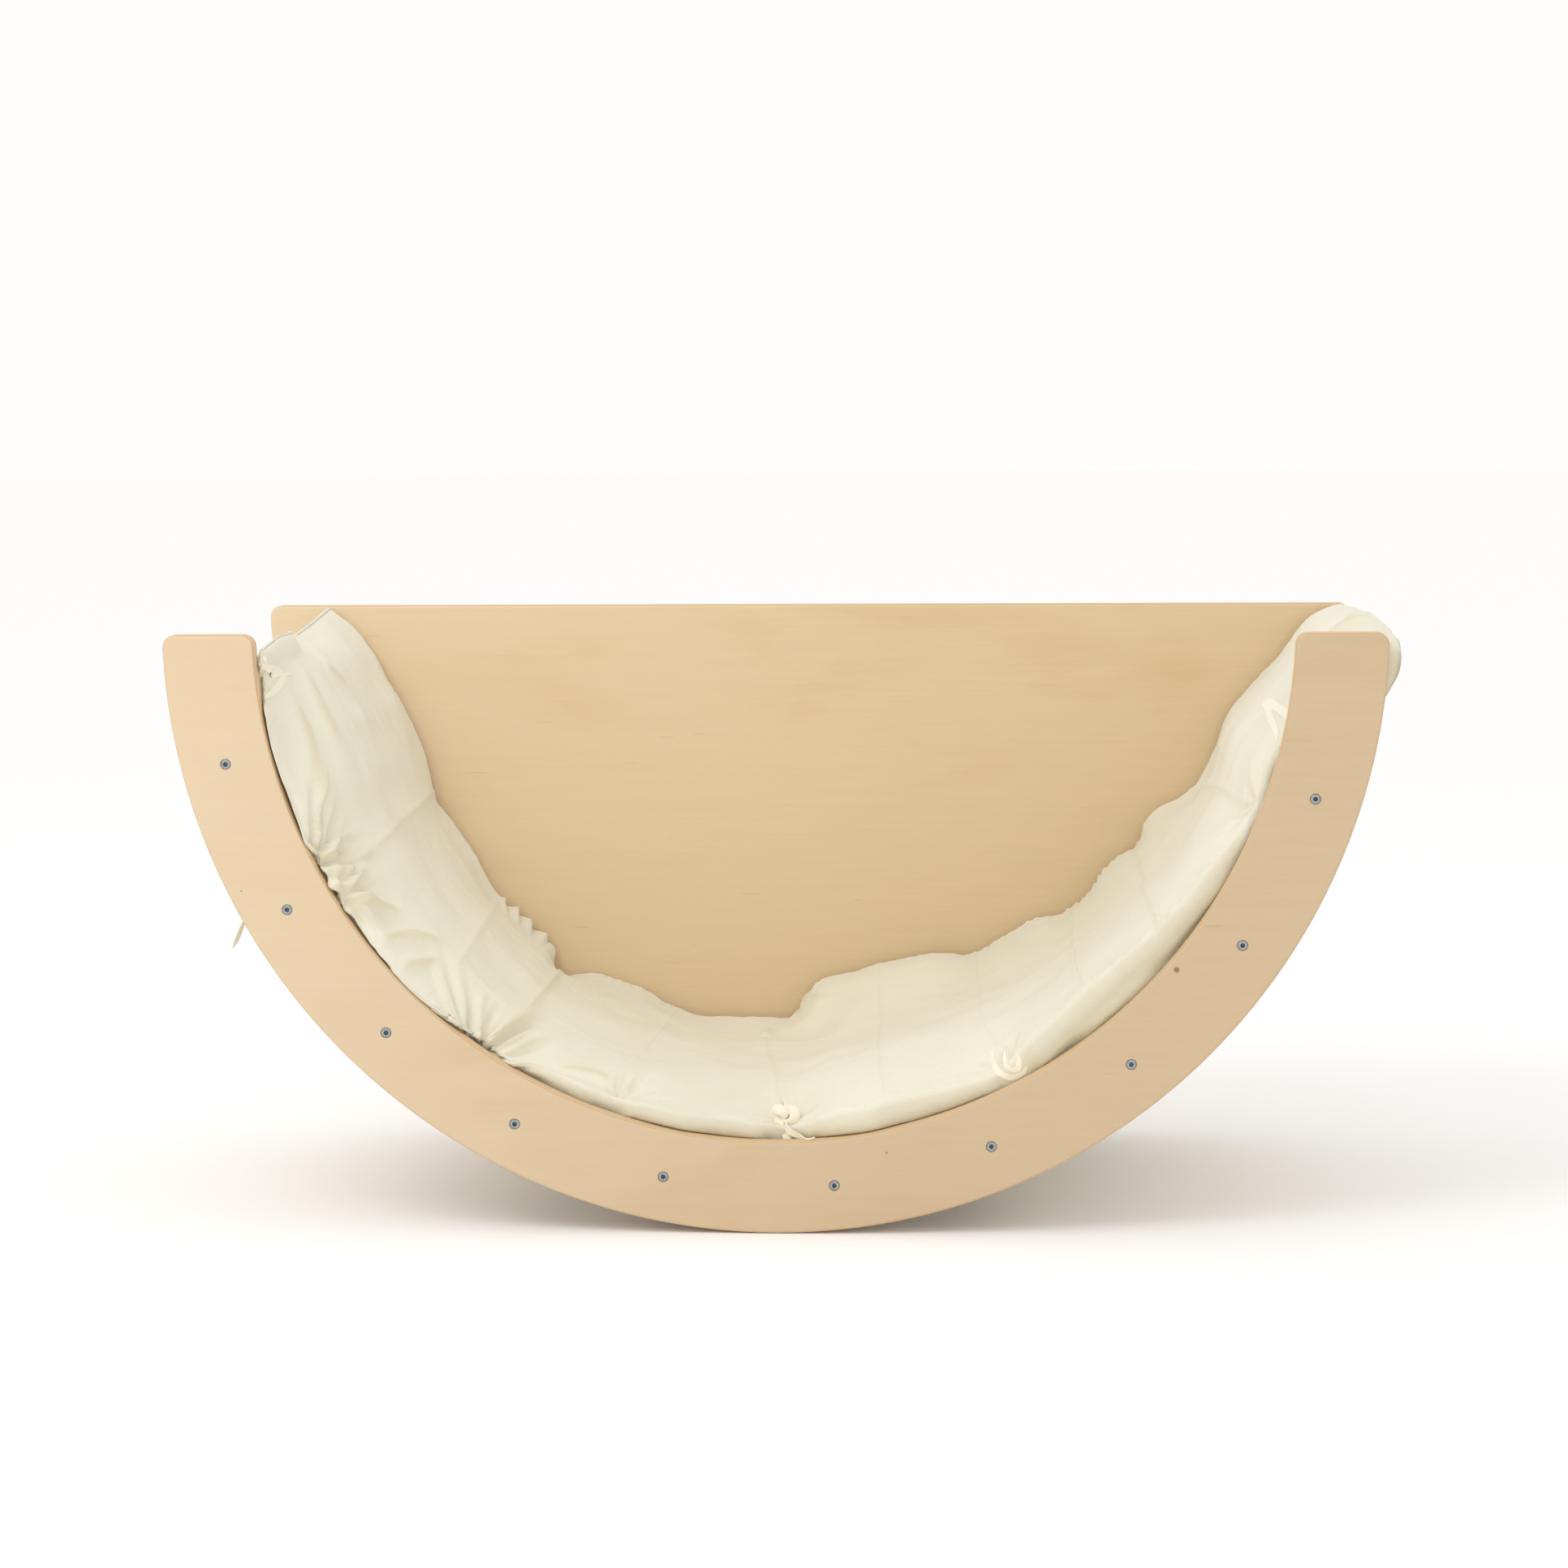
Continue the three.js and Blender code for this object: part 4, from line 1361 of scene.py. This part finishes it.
# Folds that spread from each tie: arch angle, metres round from the front edge, reach, number of
# folds, height, and the heading and half spread in degrees.
FANS = [
    (84.4, 0.004, 0.050, 6, 0.0022, 10, 75),
    (62.4, 0.000, 0.095, 10, 0.0074, -30, 60),
    (58.2, 0.002, 0.070, 6, 0.0062, 12, 55),
    (34.8, 0.000, 0.120, 12, 0.0072, -10, 80),
    (18.6, 0.004, 0.065, 7, 0.0036, 8, 60),
    (-0.8, 0.006, 0.040, 7, 0.0022, 0, 75),
    (-27.8, 0.000, 0.045, 6, 0.0034, -20, 55),
    (-69.2, 0.000, 0.060, 6, 0.0026, -10, 45),
    (-52.4, 0.002, 0.030, 4, 0.0016, 0, 60),
]
FIRST_FAN_SEED = 21
# Pleats along the back edge: first and last arch angle, metres round, spacing, height and seed.
RUFFLES = [
    (46.5, 33.5, 0.400, 0.0165, 0.0085, 31),
    (33.0, 20.0, 0.400, 0.012, 0.0016, 33),
    (3.0, -2.5, 0.390, 0.013, 0.0060, 35),
    (-22, -38, 0.402, 0.012, 0.0022, 37),
    (-38, -58, 0.398, 0.011, 0.0030, 39),
]


def sculpt_mat(points):
    cloth = Sculpt(points)
    for path, depth in CHANNELS:
        cloth.channel(path, depth)
    on_top = smooth_step((cloth.around + 0.03) / 0.05)
    cloth.heights += 0.0030 * cloth.field(0.085, 11) * on_top
    cloth.heights += 0.0017 * cloth.field(0.038, 12, 1.3) * on_top
    for fold in LONG_FOLDS:
        cloth.crease(*fold)
    cloth.apply()
    for seed, fan in enumerate(FANS, FIRST_FAN_SEED):
        cloth.fan(*fan, seed)
    for crease in CREASES:
        cloth.crease(*crease)
    for ruffle in RUFFLES:
        cloth.ruffle(*ruffle)
    cloth.apply()
    for edge in (0.0, MAT_WIDTH):
        near = np.exp(-((np.abs(cloth.around - edge) / 0.012) ** 1.2))
        cloth.heights += 0.0007 * cloth.field(0.008, 41, 0.8) * near
    cloth.heights += 0.0004 * cloth.field(0.014, 42, 1.4)
    cloth.apply()
    drawn = np.zeros(cloth.along.shape)
    for angle, side, _ in PINCHES:
        if side == 0:
            near = ((cloth.along - length_at(angle)) / 0.035) ** 2 + (cloth.around / 0.014) ** 2
            drawn = np.maximum(drawn, np.exp(-near))
    settled = relaxed(cloth.points, 1)
    return cloth.points + (settled - cloth.points) * drawn[:, :, None], cloth.hollow


def keep_between_panels(points):
    """Holds the cloth clear of both side panels, and lets it lie out over the open one's rim."""
    clear = 0.0012
    rim_gap = 0.0003
    radius = np.hypot(points[:, :, 0], points[:, :, 2] - CENTRE_Z)
    over = front_high.y + clear - points[:, :, 1]
    below = radius - (INNER_RADIUS - rim_gap)
    on_rim = (points[:, :, 2] < TOP_Z - 0.004) & (below < over)
    raised = np.where(on_rim & (below > 0), (radius - below) / radius, 1.0)
    points[:, :, 0] *= raised
    points[:, :, 2] = CENTRE_Z + (points[:, :, 2] - CENTRE_Z) * raised
    furthest = front_low.y - clear
    low = np.where(on_rim, furthest, front_high.y + clear)
    points[:, :, 1] = np.clip(points[:, :, 1], low, back_low.y - clear)
    return points


def mat_points():
    points = base_mat()
    points = inflate(points)
    points = round_ends(box_front_edge(refine(points, REFINED)))
    points, hollow = sculpt_mat(points)
    return keep_between_panels(points), hollow


def boxing_shade_share():
    """How much painted shade each point of the boxed front face takes, more so towards the rim."""
    along, around = MAT_CLOTH
    crisp = 1 - np.interp(along[:, 0], LINE_LENGTH, along_mat(FRONT_SOFTNESS))[:, None]
    below_edge = smooth_step((-0.0005 - around) / 0.004)
    return crisp * below_edge * (0.28 + 0.30 * smooth_step(-around / 0.040))


def make_mat():
    mesh = mat_mesh(MAT_POINTS, REFINED)
    soft_nodes = [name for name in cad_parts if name.startswith("mat_")]
    # Painted shade: the depth of the folds and the boxed front face each darken the cloth's colour.
    for name, values in (("hollow", 0.75 * MAT_CREASE_SHADE), ("boxing_shade", boxing_shade_share())):
        whole = np.zeros(len(mesh.vertices))
        whole[:values.size] = values.ravel()
        mesh.attributes.new(name, "FLOAT", "POINT").data.foreach_set("value", whole)
    mat = new_piece("padded_mat", mesh, soft_nodes, [cotton])
    return mat


MAT_POINTS, MAT_CREASE_SHADE = mat_points()
MAT_CLOTH = cloth_places(REFINED)
MAT = make_mat()


# ---- ties: flat tape round the rungs, with its knots and ends ----

TAPE_WIDTH = 0.010
TAPE_THICKNESS = 0.0010
TAPE_STEP = 0.0016
FRONT_TIE_Y = (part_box("front_tie_2")[0].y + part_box("front_tie_2")[1].y) / 2
MAT_SURFACE = BVHTree.FromObject(MAT, bpy.context.evaluated_depsgraph_get())


def spline(controls, step):
    """Samples of a smooth curve through control rows of numbers, evenly spaced by its first three."""
    rows = np.array(controls, dtype=float)
    padded = np.vstack([2 * rows[0] - rows[1], rows, 2 * rows[-1] - rows[-2]])
    dense = []
    share = np.linspace(0, 1, 24, endpoint=False)[:, None]
    for four in zip(padded, padded[1:], padded[2:], padded[3:]):
        dense.append(cubic(*four, share))
    dense = np.vstack([*dense, rows[-1]])
    lengths = np.r_[0, np.cumsum(np.linalg.norm(np.diff(dense[:, :3], axis=0), axis=1))]
    count = max(int(lengths[-1] / step), 6)
    wanted = np.linspace(0, lengths[-1], count + 1)
    return np.column_stack([np.interp(wanted, lengths, column) for column in dense.T])


def unit(vectors):
    return vectors / np.maximum(np.linalg.norm(vectors, axis=-1, keepdims=True), 1e-9)


def add_tape(bm, path, side, width, thickness=TAPE_THICKNESS, cup=0.0):
    """A closed strip of tape. Side is the way its width runs; cup hollows it across."""
    path = np.asarray(path)
    side = np.broadcast_to(np.asarray(side, dtype=float), path.shape)
    width = np.broadcast_to(np.asarray(width, dtype=float), len(path))
    along = unit(np.gradient(path, axis=0))
    side = unit(side - along * (side * along).sum(axis=1, keepdims=True))
    face = np.cross(along, side)
    across = np.array([-0.5, -0.46, -0.3, -0.1, 0.1, 0.3, 0.46, 0.5])
    lift = np.array([0.0, 0.44, 0.5, 0.5, 0.5, 0.5, 0.44, 0.0])
    ring_across = np.r_[across, across[-2:0:-1]]
    ring_lift = np.r_[lift, -lift[-2:0:-1]]
    rings = []
    for i in range(len(path)):
        hollow = cup * width[i] * (4 * ring_across**2 - 0.5)
        section = (
            path[i]
            + side[i] * (ring_across * width[i])[:, None]
            + face[i] * (ring_lift * thickness + hollow)[:, None]
        )
        rings.append([bm.verts.new(point) for point in section])
    join_rings(bm, rings)
    for ring in (rings[0], rings[-1][::-1]):
        last = len(across) - 1
        count = len(ring)
        for k in range(last):
            quad = (ring[k], ring[k + 1], ring[(count - k - 1) % count], ring[(count - k) % count])
            bm.faces.new(list(dict.fromkeys(quad)))


def add_loop(bm, centre, radius, y, start):
    """Tape once round a rung, from a compass angle back to it."""
    turns = np.radians(start + np.linspace(0, 360, 61))
    slip = np.linspace(-0.0008, 0.0008, 61)
    path = np.column_stack(
        [centre.x + radius * np.cos(turns), y + slip * 2, centre.z + radius * np.sin(turns)]
    )
    flutter = 1 + 0.08 * np.sin(turns * 3)
    add_tape(bm, path, (0, 1, 0), TAPE_WIDTH * flutter)


def add_knot(bm, centre, size, out, up, width):
    """An overhand knot of folded tape: a trefoil, flattened, that faces out."""
    out, up = unit(np.array(out, dtype=float)), unit(np.array(up, dtype=float))
    sideways = np.cross(out, up)
    turn = np.linspace(0, math.tau, 91)
    flat_x = (np.sin(turn) + 2 * np.sin(2 * turn)) / 3
    flat_y = (np.cos(turn) - 2 * np.cos(2 * turn)) / 3
    deep = -np.sin(3 * turn) / 3
    local = flat_x[:, None] * sideways * 0.82 + flat_y[:, None] * up + deep[:, None] * out * 0.75
    path = np.array(centre) + local * size
    along = unit(np.gradient(path, axis=0))
    side = np.cross(along, out) * 0.8 + out * 0.6
    add_tape(bm, path, side, width, 0.0022, cup=0.10)


def add_tail(bm, controls, side, widths, twist):
    """A free end of tape through control points, which narrows to a cut point at its end."""
    rows = [(*point, width) for point, width in zip(controls, widths)]
    samples = spline(rows, TAPE_STEP)
    path, width = samples[:, :3], samples[:, 3]
    along = unit(np.gradient(path, axis=0))
    side = np.broadcast_to(np.array(side, dtype=float), path.shape)
    side = unit(side - along * (side * along).sum(axis=1, keepdims=True))
    other = np.cross(along, side)
    turn = np.radians(np.linspace(0, twist, len(path)))[:, None]
    add_tape(bm, path, side * np.cos(turn) + other * np.sin(turn), width, cup=0.06)


def lay_tape(bm, stations, widths, facing, lift):
    """Tape that follows the cloth, through [arch angle, radius] stations on the mat's front."""
    controls = [(*on_mat(angle, radius), width) for (angle, radius), width in zip(stations, widths)]
    samples = spline(controls, TAPE_STEP)
    path, width = samples[:, :3], samples[:, 3]
    side = unit(np.cross(unit(np.gradient(path, axis=0)), unit(np.array(facing, dtype=float))))
    across = np.array([-0.5, -0.38, -0.2, 0.0, 0.2, 0.38, 0.5])
    rise = np.array([0.3, 1.0, 0.9, 0.8, 0.9, 1.0, 0.3]) * lift
    rings = []
    for i in range(len(path)):
        upper, lower = [], []
        for share, height in zip(across, rise):
            place = Vector(path[i] + side[i] * share * width[i])
            near, normal, _, _ = MAT_SURFACE.find_nearest(place)
            upper.append(bm.verts.new(near + normal * height))
            lower.append(bm.verts.new(near - normal * 0.0004))
        rings.append(upper + lower[::-1])
    join_rings(bm, rings)
    for ring in (rings[0], rings[-1][::-1]):
        count = len(ring)
        for k in range(len(across) - 1):
            bm.faces.new((ring[k], ring[k + 1], ring[count - k - 2], ring[count - k - 1]))


def on_mat(angle, radius, lift=0.0006):
    """The place on the front of the mat at an arch angle and radius, a little off the cloth."""
    start = on_arch(angle, radius, -0.3)
    place, _, _, _ = MAT_SURFACE.ray_cast(start, Vector((0, 1, 0)))
    y = place.y if place else front_high.y
    return (start.x, y - lift, start.z)


def compass(centre, angle, distance, y):
    turn = math.radians(angle)
    return (centre.x + distance * math.cos(turn), y, centre.z + distance * math.sin(turn))


# Of each tie: its rung, the compass angle of its knot, and its two ends, each by the compass
# angle at which it leaves the knot, the angle at which it hangs in the end, its length, and its
# twist in degrees.
TIES = [
    (1, 200, [(235, 262, 0.036, 35), (250, 276, 0.032, -35)]),
    (2, 200, [(190, 244, 0.048, 35), (240, 264, 0.034, -30)]),
    (4, 200, [(240, 264, 0.022, 40), (262, 284, 0.020, -35)]),
    (6, 350, [(262, 250, 0.016, 30), (280, 292, 0.015, -40)]),
    (7, 340, [(270, 256, 0.022, 35), (286, 284, 0.020, -35)]),
    (10, 340, [(280, 266, 0.038, 45), (294, 282, 0.034, -35)]),
]


def tie_mesh(name, rung, knot_angle, ends, y, laid, knotted):
    bm = bmesh.new()
    centre = node_centre(RUNG_NAMES[rung - 1])
    radius = RUNG_RADIUS + 0.0009
    add_loop(bm, centre, radius, y, knot_angle)
    knot = compass(centre, knot_angle, radius + 0.0042, y)
    out = Vector(knot) - centre
    out.y = 0
    add_knot(bm, knot, 0.0062, out.normalized(), (0, 1, 0), 0.0040)
    for number, (first, last, length, twist) in enumerate(ends):
        shift = (number - 0.5) * 0.006
        middle = compass(Vector(knot), first, length * 0.42, y + shift)
        tip = compass(Vector(middle), last, length * 0.58, y + shift * 1.8)
        near = compass(Vector(knot), first, length * 0.12, y + shift * 0.4)
        late = tuple(Vector(middle).lerp(Vector(tip), 0.7))
        widths = (0.0045, 0.0075, 0.0068, 0.0012)
        add_tail(bm, (near, middle, late, tip), (0, 1, 0.2), widths, twist)
    for laid_tape in laid:
        lay_tape(bm, *laid_tape)
    if knotted:
        front_knot(bm)
    bmesh.ops.recalc_face_normals(bm, faces=bm.faces)
    mesh = mesh_from(bm, name)
    smooth_by_angle(mesh, 50)
    return mesh


def front_knot(bm):
    """The tie that comes up past the rim and is knotted in front of the mat."""
    strap = [
        on_arch(-4.6, 0.4475, FRONT_TIE_Y - 0.006),
        on_arch(-3.0, 0.4400, front_high.y + 0.0006),
        on_arch(-1.6, 0.4300, front_high.y + 0.0005),
        on_mat(-1.0, 0.4215, 0.0010),
    ]
    add_tail(bm, strap, (1, 0, 0.2), (0.009, 0.009, 0.008, 0.006), 0)
    middle = on_mat(-0.9, 0.4110, 0.0030)
    add_knot(bm, middle, 0.0116, (0, -1, 0), (0.15, 0, 1), 0.0104)
    end = [middle, on_mat(-1.5, 0.4185, 0.0035), on_mat(-2.8, 0.4232, 0.0045),
           on_arch(-3.6, 0.4238, front_low.y + 0.004), on_arch(-4.5, 0.4226, front_low.y + 0.005)]
    add_tail(bm, end, (0.3, 0.2, 1), (0.005, 0.0055, 0.0048, 0.0036, 0.001), 60)
    stub = [middle, on_mat(-1.1, 0.4050, 0.003), on_mat(-0.4, 0.4000, 0.001)]
    add_tail(bm, stub, (1, 0.3, 0), (0.005, 0.006, 0.001), 25)


# Tape that lies on the cloth beside some of the front ties, by the number of the tie: its stations
# by arch angle and radius, its widths there, the way that it faces, and how thick it lies.
BIGHT = np.array([0.2, 0.8, 1, 1, 0.8, 0.2])
LAID_TAPES = {
    1: [  # wrapped over the mat's front corner and drawn tight
        ([(85.6, 0.4232), (84.9, 0.4185), (83.8, 0.4168), (82.6, 0.4182), (81.7, 0.4232)],
         (0.0020, 0.0065, 0.0080, 0.0070, 0.0020), (0.6, -0.8, 0), 0.0020),
        ([(86.4, 0.4200), (85.6, 0.4145), (84.6, 0.4120), (83.6, 0.4140)],
         (0.0030, 0.0055, 0.0060, 0.0015), (0.6, -0.8, 0), 0.0016),
    ],
    3: [  # a short strap that leaves the mat's edge
        ([(34.7, 0.4140), (34.5, 0.4185), (34.4, 0.4230)],
         (0.0030, 0.0042, 0.0040), (0.3, -0.95, 0), 0.0014),
    ],
    5: [  # two bights, one inside the other
        ([(-26.4, 0.3990), (-26.2, 0.4070), (-26.6, 0.4150), (-27.5, 0.4210), (-28.7, 0.4222),
          (-29.6, 0.4190)], 0.0064 * BIGHT, (0.3, -0.8, 0.55), 0.0012),
        ([(-28.0, 0.4010), (-27.6, 0.4080), (-27.9, 0.4150), (-28.6, 0.4165), (-29.2, 0.4110),
          (-29.3, 0.4055)], 0.0056 * BIGHT, (0.3, -0.8, 0.55), 0.0012),
    ],
    6: [  # a flat loop sewn to the mat's edge
        ([(-83.2, 0.4222), (-81.9, 0.4188), (-80.6, 0.4172), (-79.3, 0.4174), (-78.0, 0.4192),
          (-76.6, 0.4228)], (0.0012, 0.0064, 0.0084, 0.0082, 0.0062, 0.0012), (-0.5, -0.85, 0.1),
         0.0014),
    ],
}
KNOTTED_TIE = 4


def make_ties():
    for number, (rung, knot_angle, ends) in enumerate(TIES, 1):
        for side, y in (("front", FRONT_TIE_Y), ("back", -FRONT_TIE_Y)):
            in_front = side == "front"
            laid = LAID_TAPES.get(number, []) if in_front else []
            knotted = in_front and number == KNOTTED_TIE
            name = f"{side}_tape_{number}"
            mesh = tie_mesh(name, rung, knot_angle, ends, y, laid, knotted)
            new_piece(name, mesh, [f"{side}_tie_{number}"], [tape])


make_ties()

# ---- stitching ----

STITCH_LENGTH = 0.0032
STITCH_PITCH = 0.0052
STITCH_RADIUS = 0.00032
STITCH_SEGMENTS = 6
# Along a stitch: the share of its length, and its rise and thickness in thread radii.
STITCH_SECTIONS = [(0, -0.4, 0.6), (0.2, 0.6, 1), (0.5, 1.0, 1), (0.8, 0.6, 1), (1, -0.4, 0.6)]
SEAM_INSET = 0.005


def add_stitch(bm, start, end, out):
    """A stitch that rises from the cloth and goes back into it."""
    along = (end - start).normalized()
    side = along.cross(out).normalized()
    rings = []
    for share, rise, thick in STITCH_SECTIONS:
        middle = start.lerp(end, share) + out * STITCH_RADIUS * rise
        ring = []
        for k in range(STITCH_SEGMENTS):
            turn = math.tau * k / STITCH_SEGMENTS
            spoke = side * math.cos(turn) + out * math.sin(turn)
            ring.append(bm.verts.new(middle + spoke * STITCH_RADIUS * thick))
        rings.append(ring)
    join_rings(bm, rings)
    bm.faces.new(rings[0][::-1])
    bm.faces.new(rings[-1])


def make_stitching():
    """Stitches beside the front and back upper seams, and down the seams sewn across the mat."""
    bm = bmesh.new()
    along, around = MAT_CLOTH
    normals = surface_normals(MAT_POINTS)

    def sew(rows, columns):
        places = MAT_POINTS[rows, columns]
        outs = normals[rows, columns]
        lengths = np.r_[0, np.cumsum(np.linalg.norm(np.diff(places, axis=0), axis=1))]
        for start in np.arange(0.006, lengths[-1] - 0.008, STITCH_PITCH):
            ends = []
            for where in (start, start + STITCH_LENGTH):
                ends.append(Vector([np.interp(where, lengths, places[:, k]) for k in range(3)]))
            out = Vector([np.interp(start, lengths, outs[:, k]) for k in range(3)]).normalized()
            add_stitch(bm, ends[0], ends[1], out)

    rows = np.arange(along.shape[0])
    for edge in (SEAM_INSET, MAT_WIDTH - SEAM_INSET):
        column = int(np.argmin(np.abs(around[0] - edge)))
        sew(rows, np.full(len(rows), column))
    for path, _ in CHANNELS:
        columns = np.nonzero((around[0] > 0.004) & (around[0] < MAT_WIDTH - 0.004))[0]
        angles = np.interp(around[0][columns], [p[1] for p in path], [p[0] for p in path])
        spots = np.array([length_at(angle) for angle in angles]) / (STEP_ALONG / REFINED)
        sew(np.round(spots).astype(int), columns)
    bmesh.ops.recalc_face_normals(bm, faces=bm.faces)
    mesh = mesh_from(bm, "mat_stitching")
    mesh.shade_smooth()
    new_piece("mat_stitching", mesh, [], [thread])


make_stitching()
